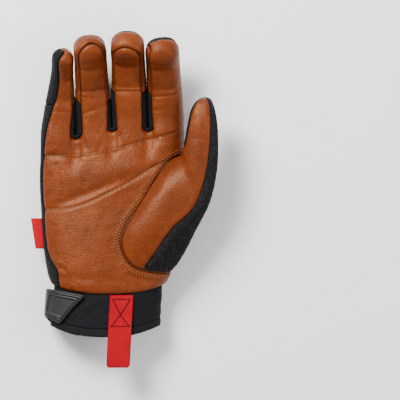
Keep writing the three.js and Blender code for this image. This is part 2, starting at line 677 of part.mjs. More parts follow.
// Every sewn panel of the hand, by its node's name.
function handPanels(hand) {
  const panels = {};
  const ofFinger = (name) => (point) => point.owner.finger && point.owner.finger.name === name;
  const [caps, uncapped] = split(hand, capField);
  const [strips, bands] = split(uncapped, bandField);
  const [wraps, gussets] = split(bands, wrapField);
  FINGERS.forEach(({ name }) => {
    panels[`tip_cap_${name}`] = only(caps, ofFinger(name));
    if (name !== 'index') panels[`tip_wrap_${name}`] = only(wraps, ofFinger(name));
  });
  panels.tip_wrap_index = only(wraps, ofFinger('index'));
  SLOTS.forEach((slot) => {
    panels[`gusset_${slot.name}`] = only(gussets, (point) => Math.abs(point.flat[0] - slot.x) < BAND_REACH);
  });
  const [palmSide, backSide] = split(strips, sideField);
  const palmLeather = split(palmSide, thumbHoleField)[1];
  panels.palm_leather = palmLeather;
  const backCloth = split(backSide, thumbHoleField)[1];
  const [outerBacks, inner] = split(backCloth, outerBackField);
  FINGERS.forEach(({ name, backSeam }) => {
    if (backSeam) panels[`finger_back_${name}`] = only(outerBacks, ofFinger(name));
  });
  const [patch, around] = split(inner, patchField);
  panels.index_patch = patch;
  const [cloth, lower] = split(around, clothField);
  const [wrist, red] = split(lower, wristField);
  panels.back_fabric = cloth;
  panels.red_panel = red;
  panels.wrist_leather = wrist;
  return panels;
}

// The thumb's first ring lies on the palm skin just inside its seam; the others follow the section table.
function thumbSkin(hand) {
  const surface = hand.mesh();
  const caster = new THREE.Raycaster();
  // The skin's point in the direction of x, z from the middle of its section at y.
  const hit = (x, y, z) => {
    const middle = new THREE.Vector3(tubeSection(PALM, y).x, y, 0);
    const origin = new THREE.Vector3(x, y, z).sub(middle).multiplyScalar(3).add(middle);
    caster.set(origin, middle.sub(origin).normalize());
    const found = caster.intersectObject(surface)[0];
    const normal = found.face.normal;
    const outward = normal.dot(caster.ray.direction) > 0 ? -1 : 1;
    return { point: found.point.toArray(), normal: [normal.x, normal.y, normal.z].map((v) => v * outward) };
  };
  const curve = new THREE.SplineCurve(THUMB_SEAM.slice(1, -1).map(([x, y]) => new THREE.Vector2(x, y)));
  const base = [];
  for (let i = 0; i < SIDES; i += 1) {
    const angle = (360 * i) / SIDES;
    if (angle <= 180) {
      const share = angle / 180;
      const p = curve.getPointAt(share);
      const tangent = curve.getTangentAt(share);
      const [x, y] = [p.x - tangent.y * INSET, p.y + tangent.x * INSET];
      const palm = tubeSection(PALM, y);
      const across = Math.min(WIDEST, Math.abs((x - palm.x) / palm.halfWidth));
      base.push(hit(x, y, palm.front * (1 - across ** ROUNDNESS) ** (1 / ROUNDNESS)));
    } else {
      const { lowY, highY, topZ, bottomZ } = THUMB_HOLE;
      const y = mix(lowY + INSET, highY - INSET, (1 + Math.cos(angle * rad)) / 2);
      const z = topZ + (topZ - bottomZ - INSET) * Math.sin(angle * rad);
      const palm = tubeSection(PALM, y);
      const reach = (1 - Math.abs(z / palm.back) ** ROUNDNESS) ** (1 / ROUNDNESS);
      base.push(hit(palm.x + palm.halfWidth * reach, y, z));
    }
  }
  const rings = THUMB.map((row) => base.map((_, i) => {
    const [across, up] = sectionPoint((360 * i) / SIDES, 0.5, row.front, row.back);
    return [
      mix(row.outerX, row.innerX, 0.5 + across),
      mix(row.outerY, row.innerY, 0.5 + across),
      row.z + up,
    ];
  }));
  const mounds = MOUND.map(({ share, rise }) => base.map(({ point, normal }, i) => {
    const reach = Math.hypot(...point.map((v, axis) => rings[0][i][axis] - v));
    const palmward = MOUND_SIDE + (1 - MOUND_SIDE) * Math.max(0, Math.sin(((360 * i) / SIDES) * rad));
    const height = rise * palmward * clamp(reach / MOUND_REACH, 0, 1);
    return along(mixPoint(point, rings[0][i], share), normal, height);
  }));
  const stack = [base.map(({ point }) => point), ...mounds, ...rings];
  const lines = base.map((_, i) => new THREE.CatmullRomCurve3(
    stack.map((ring) => new THREE.Vector3(...ring[i])).concat(new THREE.Vector3(...THUMB_TIP)),
    false,
    'centripetal',
  ));
  const skin = new Skin();
  const stops = [...Array(ROWS).keys()].map((k) => k / ROWS).concat(LAST_ROW);
  const grid = stops.map((share) => lines.map((line, i) => {
    const place = line.getPoint(share).toArray();
    const index = skin.add(place, {});
    const angle = ((360 * i) / SIDES) * rad;
    skin.points[index].around = [Math.cos(angle), Math.sin(angle), share];
    return index;
  }));
  const tip = skin.add([...THUMB_TIP], {});
  skin.points[tip].around = [0, 0, 1];
  grid.forEach((ring, k) => {
    for (let i = 0; i < SIDES; i += 1) {
      const j = (i + 1) % SIDES;
      if (k + 1 < grid.length) skin.quad(ring[j], grid[k + 1][j], grid[k + 1][i], ring[i]);
      else skin.triangles.push([ring[j], tip, ring[i]]);
    }
  });
  skin.points.forEach((point) => { point.place = point.flat; });
  skin.normals('place').forEach((normal, i) => { skin.points[i].normal = normal; });
  return skin;
}

// The thumb's panels: pile on the outer side, a black gusset on the inner side near the tip, leather between.
function thumbPanels(thumb) {
  const place = (point) => {
    const [across, up, share] = point.around;
    return { angle: ((Math.atan2(up, across) / rad) + 360) % 360, share, radius: mix(20, 10, share) * rad };
  };
  const pileField = (point) => {
    const { angle, share, radius } = place(point);
    const [low, high] = ['pileFront', 'pileBack'].map((name) => read(THUMB_BORDERS, name, share, 'share'));
    return Math.max(low - angle, angle - high, (PILE_START - share) * PILE_START_SLOPE) * radius;
  };
  const gussetField = (point) => {
    const { angle, share, radius } = place(point);
    const signed = angle > 180 ? angle - 360 : angle;
    const [high, low] = ['gussetFront', 'gussetBack'].map((name) => read(THUMB_BORDERS, name, share, 'share'));
    return Math.max(low - signed, signed - high, (GUSSET_START - share) * GUSSET_START_SLOPE) * radius;
  };
  const backField = (point) => {
    const { angle, radius } = place(point);
    return (Math.sin((THUMB_SPLIT - angle) * rad) * radius) / rad;
  };
  const [pile, leather] = split(thumb, pileField);
  const [gusset, around] = split(leather, gussetField);
  const [back, front] = split(around, backField);
  return { thumb_terry: pile, thumb_inner: gusset, thumb_back: back, thumb_leather: front };
}

// A grid of points closed into a solid: rows run across, and each cell has an outer and an inner point.
function shellGeometry(outer, inner, closedRound) {
  const rows = outer.length;
  const columns = outer[0].length;
  const faces = [];
  const places = [];
  const index = (layer, i, j) => layer * rows * columns + i * columns + (j % columns);
  [outer, inner].forEach((layer) => layer.forEach((row) => row.forEach((point) => places.push(...point))));
  const quad = (a, b, c, d) => faces.push(a, b, c, a, c, d);
  const lastColumn = closedRound ? columns : columns - 1;
  for (let i = 0; i + 1 < rows; i += 1) {
    for (let j = 0; j < lastColumn; j += 1) {
      quad(index(0, i, j), index(0, i, j + 1), index(0, i + 1, j + 1), index(0, i + 1, j));
      quad(index(1, i, j), index(1, i + 1, j), index(1, i + 1, j + 1), index(1, i, j + 1));
    }
  }
  for (let j = 0; j < lastColumn; j += 1) {
    quad(index(1, 0, j), index(1, 0, j + 1), index(0, 0, j + 1), index(0, 0, j));
    quad(index(0, rows - 1, j), index(0, rows - 1, j + 1), index(1, rows - 1, j + 1), index(1, rows - 1, j));
  }
  if (!closedRound) {
    for (let i = 0; i + 1 < rows; i += 1) {
      quad(index(0, i, 0), index(0, i + 1, 0), index(1, i + 1, 0), index(1, i, 0));
      quad(index(1, i, columns - 1), index(1, i + 1, columns - 1), index(0, i + 1, columns - 1),
        index(0, i, columns - 1));
    }
  }
  const geometry = new THREE.BufferGeometry();
  geometry.setAttribute('position', new THREE.Float32BufferAttribute(places, 3));
  geometry.setIndex(faces);
  return geometry;
}

// A point on the cuff at height y and angle, lifted off its surface.
function cuffPoint(y, angle, lift) {
  const section = tubeSection(CUFF, y);
  const [x, z] = sectionPoint(angle, section.halfWidth + lift, section.front + lift, section.back + lift);
  return [section.x + x, y, z];
}

const hemY = (angle) => mix(
  Math.sin(angle * rad) > 0 ? HEM.front : HEM.back, HEM.side, Math.cos(angle * rad) ** 2);
const turnAngles = (count) => [...Array(count).keys()].map((i) => (360 * i) / count);

function cuffGeometry() {
  const angles = turnAngles(CUFF_SIDES);
  const layer = (lift) => CUFF_ROWS.map((share) => angles.map((angle) => (
    cuffPoint(mix(CUFF[0].y, hemY(angle) + HEM.binding + SEAM_GAP, share), angle, lift)
  )));
  return shellGeometry(layer(0), layer(-CUFF_WALL), true);
}

function bindingGeometry() {
  const angles = turnAngles(CUFF_SIDES);
  const layer = (lift, inset) => [1, 0.5, 0].map((share) => angles.map((angle) => (
    cuffPoint(hemY(angle) + HEM.binding * share, angle, lift - (share === 0.5 ? 0 : inset))
  )));
  return shellGeometry(layer(HEM.proud, 0.3), layer(-CUFF_WALL - HEM.proud, -0.3), true);
}

// The strap lies over the patch and wraps from the palm side round the little-finger edge to the back.
function strapGeometry() {
  const columns = STRAP_COLUMNS;
  const place = (u, v, height) => {
    const topAngle = read(STRAP, 'topAngle', u, 'u');
    const footAngle = read(STRAP, 'footAngle', u, 'u');
    const y = mix(read(STRAP, 'topY', u, 'u'), read(STRAP, 'footY', u, 'u'), v);
    return cuffPoint(y, mix(topAngle, footAngle, v), height);
  };
  const { depth, edge, spans } = STRAP_RECESS;
  const recessed = (u, v) => v > edge && v < 1 - edge && spans.some(([from, to]) => u > from && u < to);
  const bulge = (u) => Math.exp(-(((u - STRAP_BULGE.u) / STRAP_BULGE.width) ** 2));
  const lift = (u) => STRAP_LIFT + STRAP_BULGE.rise * bulge(u);
  const outer = STRAP_ROWS.map((v) => columns.map((u) => (
    place(u, v, lift(u) + STRAP_THICK - (recessed(u, v) ? depth : 0))
  )));
  const inner = STRAP_ROWS.map((v) => columns.map((u) => place(u, v, lift(u))));
  return shellGeometry(outer, inner, false);
}

function patchGeometry() {
  const turns = [...Array(PATCH.columns).keys()].map((i) => i / (PATCH.columns - 1));
  const layer = (lift) => [0, 0.34, 0.67, 1].map((v) => turns.map((u) => {
    const angle = mix(PATCH.from, PATCH.to, u);
    const end = Math.max(0, (u - PATCH.roundFrom) / (1 - PATCH.roundFrom));
    const half = Math.sqrt(Math.max(0.12, 1 - end * end)) / 2;
    const middle = mix(PATCH.topY, PATCH.footY, 0.5) + PATCH.slope * u;
    return cuffPoint(middle + (PATCH.topY - PATCH.footY) * half * (1 - 2 * v), angle, lift);
  }));
  return shellGeometry(layer(PATCH.lift + PATCH.thick), layer(PATCH.lift), false);
}

// Webbing doubled over the hem: down outside the cuff, round a fold, and up inside it.
function loopGeometry() {
  const section = (y) => cuffPoint(Math.max(y, HEM.front), LOOP.angle, 0)[2];
  const outside = LOOP.outside.map(([y, lift]) => [y, section(y) + lift]);
  const inside = LOOP.inside.map(([y, drop]) => [y, section(y) - drop]);
  const path = new THREE.SplineCurve([...outside, ...inside].map(([y, z]) => new THREE.Vector2(y, z)));
  const points = path.getPoints(LOOP.steps);
  const layer = (side) => points.map((point, i) => {
    const tangent = path.getTangent(i / LOOP.steps);
    const share = (LOOP.outside[0][0] - point.x) / (LOOP.outside[0][0] - LOOP.foldY);
    const x = mix(LOOP.topX, LOOP.footX, clamp(share, 0, 1));
    const [y, z] = [point.x + tangent.y * side * LOOP.thick / 2, point.y - tangent.x * side * LOOP.thick / 2];
    return [x - LOOP.width / 2, x, x + LOOP.width / 2].map((across) => [across, y, z]);
  });
  return shellGeometry(layer(-1), layer(1), false);
}

// The small folded tag sewn into the little-finger edge.
function tagGeometry() {
  const layer = (z) => TAG.map(({ y, inner, outer }) => [
    [outer, y, z], [(inner + outer) / 2, y, z], [inner, y, z]]);
  return shellGeometry(layer(TAG_Z + TAG_THICK), layer(TAG_Z), false);
}

// Finishes
const finish = (color, roughness) => new THREE.MeshStandardMaterial({ color, roughness, metalness: 0 });
const FINISHES = {
  leather: finish(0x9c5830, 0.62),
  cloth: finish(0x26262a, 0.85),
  red: finish(0xc81f2e, 0.8),
  pile: finish(0x2c2b2e, 0.95),
  cap: finish(0x33312a, 0.6),
  cuff: finish(0x242329, 0.7),
  binding: finish(0x1d1c20, 0.75),
  rubber: finish(0x46464a, 0.5),
  webbing: finish(0xb81c26, 0.8),
  tag: finish(0xb5262c, 0.7),
};
const FINISH_OF = {
  palm_leather: 'leather', wrist_leather: 'leather', thumb_leather: 'leather', thumb_back: 'leather',
  back_fabric: 'cloth', red_panel: 'red', index_patch: 'cap', thumb_terry: 'pile', thumb_inner: 'cloth',
};

function finishFor(name) {
  if (FINISH_OF[name]) return FINISHES[FINISH_OF[name]];
  if (name.startsWith('tip_wrap')) return FINISHES.leather;
  if (name.startsWith('tip_cap')) return FINISHES.cap;
  return FINISHES.cloth;
}

// Wall thickness of a panel by its name.
const wallOf = (name) => (finishFor(name) === FINISHES.leather ? WALL : CLOTH_WALL);

// A geometry with its faces turned so that it encloses a positive volume.
function facingOut(geometry) {
  const at = geometry.getAttribute('position');
  const index = geometry.getIndex().array;
  const corner = (i) => new THREE.Vector3().fromBufferAttribute(at, i);
  let volume = 0;
  for (let i = 0; i < index.length; i += 3) {
    volume += corner(index[i]).dot(corner(index[i + 1]).cross(corner(index[i + 2])));
  }
  if (volume < 0) {
    const turned = [];
    for (let i = 0; i < index.length; i += 3) turned.push(index[i], index[i + 2], index[i + 1]);
    geometry.setIndex(turned);
  }
  geometry.computeVertexNormals();
  return geometry;
}

const group = new THREE.Group();

function addPiece(name, geometry, material) {
  const mesh = new THREE.Mesh(facingOut(geometry), material);
  mesh.name = name;
  group.add(mesh);
}

const hand = shape(handSkin());
const thumb = thumbSkin(hand);
Object.entries({ ...handPanels(hand), ...thumbPanels(thumb) }).forEach(([name, panel]) => {
  addPiece(name, wallGeometry(largestPiece(panel), 0, -wallOf(name)), finishFor(name));
});
addPiece('cuff', cuffGeometry(), FINISHES.cuff);
addPiece('cuff_binding', bindingGeometry(), FINISHES.binding);
addPiece('closure_strap', strapGeometry(), FINISHES.rubber);
addPiece('strap_patch', patchGeometry(), FINISHES.cuff);
addPiece('pull_loop', loopGeometry(), FINISHES.webbing);
addPiece('side_tag', tagGeometry(), FINISHES.tag);

// The origin is the middle of the object's footprint, on the surface that it lies on.
const box = new THREE.Box3().setFromObject(group);
const middle = box.getCenter(new THREE.Vector3());
group.position.set(-middle.x, -middle.y, -box.min.z);
group.updateMatrixWorld(true);

export default group;
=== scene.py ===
"""A right-hand leather work glove, lying on its back with the palm up.

The glove is one flat pattern skin, a palm tube that splits into four finger tubes, with a thumb set into it.
Seam lines cut the skin into its sewn panels, the fingers are curled, and every panel gets walls, folds,
stitches and rolled edges of its own. Lengths are millimetres until a mesh is written.
"""

import sys
import logging
import math
from dataclasses import dataclass, field
from enum import Enum
from typing import Callable, Optional, Sequence

import bpy
import numpy as np
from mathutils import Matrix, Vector
from mathutils.bvhtree import BVHTree
from mathutils.kdtree import KDTree


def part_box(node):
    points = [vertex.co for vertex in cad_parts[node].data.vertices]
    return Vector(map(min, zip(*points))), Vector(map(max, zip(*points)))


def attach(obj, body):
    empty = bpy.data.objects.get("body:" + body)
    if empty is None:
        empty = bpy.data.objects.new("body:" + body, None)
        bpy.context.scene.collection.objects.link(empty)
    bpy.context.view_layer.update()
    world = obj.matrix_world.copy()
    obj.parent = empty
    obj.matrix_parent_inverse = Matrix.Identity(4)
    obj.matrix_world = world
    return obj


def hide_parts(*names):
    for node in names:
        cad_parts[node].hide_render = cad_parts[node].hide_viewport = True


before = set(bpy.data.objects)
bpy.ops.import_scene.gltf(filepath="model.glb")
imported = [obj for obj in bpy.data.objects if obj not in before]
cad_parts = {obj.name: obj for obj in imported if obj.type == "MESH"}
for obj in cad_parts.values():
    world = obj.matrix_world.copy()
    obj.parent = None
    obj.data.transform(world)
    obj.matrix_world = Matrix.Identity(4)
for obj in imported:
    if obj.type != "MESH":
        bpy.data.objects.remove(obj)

Array = np.ndarray
Colour = tuple[float, float, float]
Socket = bpy.types.NodeSocket
LineTest = Callable[[Array], Array]

LOG = logging.getLogger("glove")
BODY = "root"
MM = 0.001

# Driving sizes of the pattern, after the part's own ones.
WALL = 1.5
CLOTH_WALL = 1.3
SEAM_GAP = 0.2
FLOOR = -16.5
ROUNDNESS = 2.5
SLOT_HALF = 3.6
SLOT_DEPTH = 3.4
STRIP_AT_ROOT, STRIP_AT_TIP, STRIP_REACH = 0.77, 0.83, 30.0
STRIP_SKEW = (-0.7, -0.4, 0.8, 0.0)
RING_TIP_WRAP, RING_WRAP_REACH = 4.0, 3.0
TIP_DOME, DOME_POWER, TAPER = 0.95, 2.3, 1.25
EDGE_ANGLE = 38.0
FINGER_PITCH = 29.0
TIP_TURN = (12.0, 8.0)
OUTER_SIDE_SHARE = 0.62
BACK_SLOT_SLOPE = 0.5
GUSSET_SLANT = 0.5
BACK_SEAM_ARCH = 3.5
PANEL_EDGE = 2.2
FAR = 60.0
TAG_LOW = (-65.4, 33.0)


@dataclass(frozen=True)
class Finger:
    """One finger of the pattern: its root, its sizes, its lean and roll, and the places of its seams."""

    name: str
    x: float
    root_out: float
    root_in: float
    root: float
    length: float
    width: float
    tip_width: float
    depth: float
    tip_depth: float
    lean: float
    roll: float
    joints: tuple[tuple[float, float], ...]
    gusset_end: float
    back_seam: float
    strip_end: float
    cap: float
    cap_z: float
    tip_z: float


FINGERS = (
    Finger("index", 43.5, 132, 130, 131, 80, 14, 13.3, 12.5, 11.5, -0.055, 9,
           ((8, 10), (34, 24), (56, 20)), 30, 0, -1.5, 12, -4.5, -4),
    Finger("middle", 14.5, 130, 130, 130, 88, 14, 13.4, 12.5, 11.8, -0.032, -2,
           ((8, 10), (37, 26), (61, 20)), 33, 50, 3, 11, -7.6, 0),
    Finger("ring", -14.5, 130, 124, 127, 85, 14, 13, 12.5, 11.4, -0.05, 6,
           ((10, 9), (36, 22), (59, 18)), 28, 44, 0.5, 11, -10.5, 0),
    Finger("little", -43.5, 124, 122, 124, 75, 14, 8.2, 12.5, 9.2, 0.075, 16,
           ((10, 8), (30, 18), (50, 16)), 28, 24, -1.5, 10, -6.4, -5),
)
INDEX, MIDDLE, RING_FINGER, LITTLE = range(4)
NO_FINGER = -1


def hermite(start: Array, end: Array, slope: Array, end_slope: Array, share: Array) -> Array:
    """A cubic curve between two values, from its slopes at both."""
    s = share
    first = (2 * s**3 - 3 * s**2 + 1) * start + (s**3 - 2 * s**2 + s) * slope
    return first + (3 * s**2 - 2 * s**3) * end + (s**3 - s**2) * end_slope


@dataclass(frozen=True)
class Table:
    """A short table with named columns, read with smooth blends between its rows."""

    columns: tuple[str, ...]
    rows: tuple[tuple[float, ...], ...]

    def read(self, column: str, value: Array) -> Array:
        """Reads one column.

        Args:
            column: The column's name.
            value: Values of the first column, at which the table is read.

        Returns:
            The column at those values, held level past both ends.
        """
        rows = np.array(sorted(self.rows), dtype=float)
        keys = rows[:, 0]
        data = rows[:, self.columns.index(column)]
        value = np.asarray(value, dtype=float)
        slopes = np.empty_like(data)
        slopes[1:-1] = (data[2:] - data[:-2]) / (keys[2:] - keys[:-2])
        slopes[0] = (data[1] - data[0]) / (keys[1] - keys[0])
        slopes[-1] = (data[-1] - data[-2]) / (keys[-1] - keys[-2])
        i = np.clip(np.searchsorted(keys, value, side="left") - 1, 0, len(keys) - 2)
        step = keys[i + 1] - keys[i]
        share = np.clip((value - keys[i]) / step, 0, 1)
        return hermite(data[i], data[i + 1], slopes[i] * step, slopes[i + 1] * step, share)


PALM = Table(
    ("y", "thumb_side", "little_side", "front", "back"),
    (
        (-6, 43.6, -50.2, 21.6, 17.8),
        (8, 45.2, -51.2, 21.6, 17.9),
        (30, 49.5, -54.6, 20.4, 18.1),
        (60, 53, -57, 18.8, 18.2),
        (95, 55.6, -58.6, 17, 17.4),
        (135, 57.5, -57.5, 13.6, 14),
    ),
)
CUFF = Table(
    ("y", "thumb_side", "little_side", "front", "back"),
    ((9, 40.2, -46.2, 17, 13), (-8, 39.6, -47.6, 17.6, 12.8), (-36, 37.2, -49.6, 18.4, 12.2)),
)
CUFF_MIDDLE = -5.0
LITTLE_WRAP = Table(
    ("y", "width"),
    ((-6, 7), (8, 7.4), (15, 8.2), (24, 4.6), (36, 2.4), (70, 2), (105, 3), (130, 4.6), (155, 5),
     (178, 3.6), (200, 1.6)),
)
THUMB_WRAP = Table(("y", "width"), ((-6, 4), (40, 4.6), (60, 3.2), (125, 2.4), (200, 1.6)))

THUMB_SEAM = (
    (74, 111), (49, 105.5), (36.8, 90.4), (25.6, 72), (12.5, 53.6), (7.2, 41.6), (8.3, 31.2), (14.4, 21),
    (25.6, 15.4), (46, 13.6), (74, 13),
)
PANEL_TOP = (
    (70, 121), (52, 121), (34, 120.5), (6.6, 115.5), (-12, 109), (-20.5, 103.5), (-27, 96), (-41.7, 73.2),
    (-50, 60), (-64, 38),
)
PANEL_FOOT = (
    (70, 62), (50.5, 47.6), (38.6, 36.4), (25, 25.6), (17.2, 21.6), (-4, 16.8), (-43, 9.6), (-70, 5),
)
PALM_CREASES = (
    ((-54, 107.6), (-28.4, 108), (-3.2, 111.6), (22.4, 118.7), (50, 125.4)),
    ((-56, 64.8), (-34.4, 65.9), (-15.2, 72), (12.5, 86), (32.8, 98.4), (48, 104.6)),
)


@dataclass(frozen=True)
class ThumbHole:
    """The hole for the thumb: below top_z it closes as half an ellipse round the palm's edge."""

    low_y: float = 13.6
    high_y: float = 106.0
    top_z: float = 7.0
    bottom_z: float = -6.5


THUMB = Table(
    ("row", "inner_x", "inner_y", "outer_x", "outer_y", "z", "front", "back"),
    (
        (0, 55, 107.4, 67.5, 50, 12, 17, 15),
        (1, 56.4, 112, 77.5, 70, 16, 15.5, 14.5),
        (2, 57.8, 118, 83, 93, 19, 14, 14),
        (3, 59.4, 126, 84.4, 113, 20.5, 13, 13),
        (4, 61.2, 135.5, 83.8, 131, 21.5, 12, 12),
        (5, 63.4, 144.5, 81.8, 143.5, 22, 10, 10),
        (6, 67.6, 151, 78.6, 151, 22.2, 6.8, 6.8),
    ),
)
THUMB_TIP = (73.6, 154.6, 22.3)
MOUND = ((0.18, 4.5), (0.5, 5.5))
MOUND_SIDE = 0.3
MOUND_REACH = 50.0
THUMB_INSET = 0.3
THUMB_BORDERS = Table(
    ("share", "pile_back", "gusset_front", "gusset_back"),
    ((0, 186, 20, -20), (0.3, 212, 22, -24), (0.6, 234, 26, -38), (1, 240, 30, -48)),
)
PILE_FRONT = Table(
    ("share", "angle"),
    ((0, 152), (0.1, 147), (0.17, 141), (0.21, 134), (0.26, 121), (0.34, 114), (0.6, 118), (1, 140)),
)
GUSSET_START = 0.46
PILE_START = 0.012
THUMB_SPLIT = 168.0


def mix(a: Array, b: Array, share: Array) -> Array:
    """Blends from a to b."""
    return a + (b - a) * share


def ease(value: Array) -> Array:
    """Blends smoothly from 0 to 1."""
    v = np.clip(value, 0, 1)
    return v * v * (3 - 2 * v)


def power(value: Array, exponent: float) -> Array:
    """Raises the size of a value to a power and keeps its sign."""
    return np.sign(value) * np.abs(value) ** exponent


def bump(distance: Array, width: float) -> Array:
    """A smooth hump of height 1 at distance 0."""
    return np.exp(-((distance / width) ** 2))


def edge_drop(distance: Array, radius: float) -> Array:
    """How far a rounded edge has fallen at a distance from the rim, as a share of its radius."""
    into = np.clip(1 - distance / radius, 0, 1)
    return 1 - np.sqrt(1 - into**2)


def unit(vectors: Array) -> Array:
    """Scales vectors to length 1."""
    return vectors / np.maximum(np.linalg.norm(vectors, axis=-1, keepdims=True), 1e-12)


def above_floor(places: Array) -> Array:
    """Lifts points that would sink into the floor up to it."""
    places[:, 2] = np.maximum(places[:, 2], FLOOR)
    return places


def corners(places: Array, faces: Array) -> list[Array]:
    """The corners' places, one array for each corner of a face."""
    return [places[faces[:, k]] for k in range(faces.shape[1])]


def stamped(cell: Sequence[tuple[int, ...]], copies: int, points: int) -> Array:
    """The faces of a small shape, repeated for many copies of its points."""
    faces = np.array(cell)[None] + (np.arange(copies) * points)[:, None, None]
    return faces.reshape(-1, len(cell[0]))


def waves(points: Array, wavelength: float, seed: int, count: int = 14) -> Array:
    """A smooth random field made of sine waves.

    Args:
        points: Places in millimetres.
        wavelength: The waves' mean length in millimetres.
        seed: Names the field.
        count: How many waves are added.

    Returns:
        One value a point, mostly between -1 and 1.
    """
    rng = np.random.default_rng(seed)
    headings = unit(rng.normal(size=(count, points.shape[1])))
    lengths = wavelength * rng.uniform(0.7, 1.5, count)
    phases = rng.uniform(0, 2 * math.pi, count)
    total = np.zeros(len(points))
    for heading, length, phase in zip(headings, lengths, phases):
        total += np.sin(points @ heading * (2 * math.pi / length) + phase)
    return total / math.sqrt(count)


def catmull(points: Sequence[Sequence[float]], steps: int) -> Array:
    """Samples the uniform spline through some points.

    Args:
        points: The points, of any dimension.
        steps: How many equal steps of the spline's own parameter are taken.

    Returns:
        steps + 1 points.
    """
    p = np.array(points, dtype=float)
    t = np.linspace(0, len(p) - 1, steps + 1)
    i = np.minimum(t.astype(int), len(p) - 2)
    w = (t - i)[:, None]
    p0, p1, p2, p3 = p[np.maximum(i - 1, 0)], p[i], p[i + 1], p[np.minimum(i + 2, len(p) - 1)]
    return hermite(p1, p2, (p2 - p0) / 2, (p3 - p1) / 2, w)


def even_steps(line: Array, pitch: float) -> Array:
    """Walks a polyline in equal steps.

    Args:
        line: The polyline's points.
        pitch: The wanted step.

    Returns:
        Fractional positions along the polyline's index, one for each step.
    """
    lengths = np.linalg.norm(np.diff(line[:, :3], axis=0), axis=1)
    travel = np.concatenate([[0], np.cumsum(lengths)])
    count = max(1, int(round(travel[-1] / pitch)))
    return np.interp(np.linspace(0, travel[-1], count + 1), travel, np.arange(len(line)))


@dataclass(frozen=True)
class SeamCurve:
    """A seam in the flat pattern, as a spline through a few points."""

    points: tuple[tuple[float, float], ...]

    def line(self) -> Array:
        """The spline as a fine polyline."""
        return catmull(self.points, len(self.points) * 8)

    def distance(self, x: Array, y: Array) -> Array:
        """Signed distance from the seam, positive on the left of its direction.

        Args:
            x: Pattern x.
            y: Pattern y.

        Returns:
            The distances.
        """
        line = self.line()
        start, step = line[:-1], np.diff(line, axis=0)
        best = np.full(len(x), np.inf)
        side = np.ones(len(x))
        for (ax, ay), (dx, dy) in zip(start, step):
            share = np.clip(((x - ax) * dx + (y - ay) * dy) / (dx * dx + dy * dy), 0, 1)
            away = np.hypot(x - ax - share * dx, y - ay - share * dy)
            nearer = away < best
            best = np.where(nearer, away, best)
            side = np.where(nearer, np.where(dx * (y - ay) - dy * (x - ax) > 0, 1.0, -1.0), side)
        return side * best


def section_point(angle: Array, half_width: Array, front: Array, back: Array) -> tuple[Array, Array]:
    """A point of a rounded section: angle 0 is the thumb side and 90 the palm side.

    Args:
        angle: Angles in degrees.
        half_width: Half the section's width.
        front: Its depth towards the palm.
        back: Its depth towards the back.

    Returns:
        The point's x and z.
    """
    z = power(np.sin(np.radians(angle)), 2 / ROUNDNESS)
    x = half_width * power(np.cos(np.radians(angle)), 2 / ROUNDNESS)
    return x, z * np.where(z > 0, front, back)


def tube_section(table: Table, y: Array) -> tuple[Array, Array, Array, Array]:
    """The palm's or cuff's section at height y: its middle, half width, front and back depths."""
    thumb_side, little_side, front, back = (table.read(column, y) for column in table.columns[1:])
    return (thumb_side + little_side) / 2, (thumb_side - little_side) / 2, front, back


def finger_section(finger: Finger, t: Array) -> tuple[Array, Array]:
    """A finger's section, closed as a dome at the tip.

    Args:
        finger: The finger.
        t: Distances from its root.

    Returns:
        Its half width and its depth there.
    """
    share = np.clip(t / finger.length, 0, 1)
    dome = finger.tip_width * TIP_DOME
    into = np.clip((t - (finger.length - dome)) / dome, 0, 1)
    close = np.sqrt(np.maximum(0, 1 - into**DOME_POWER))
    blend = ease(share * TAPER)
    width, depth = mix(finger.width, finger.tip_width, blend), mix(finger.depth, finger.tip_depth, blend)
    return width * close, depth * close


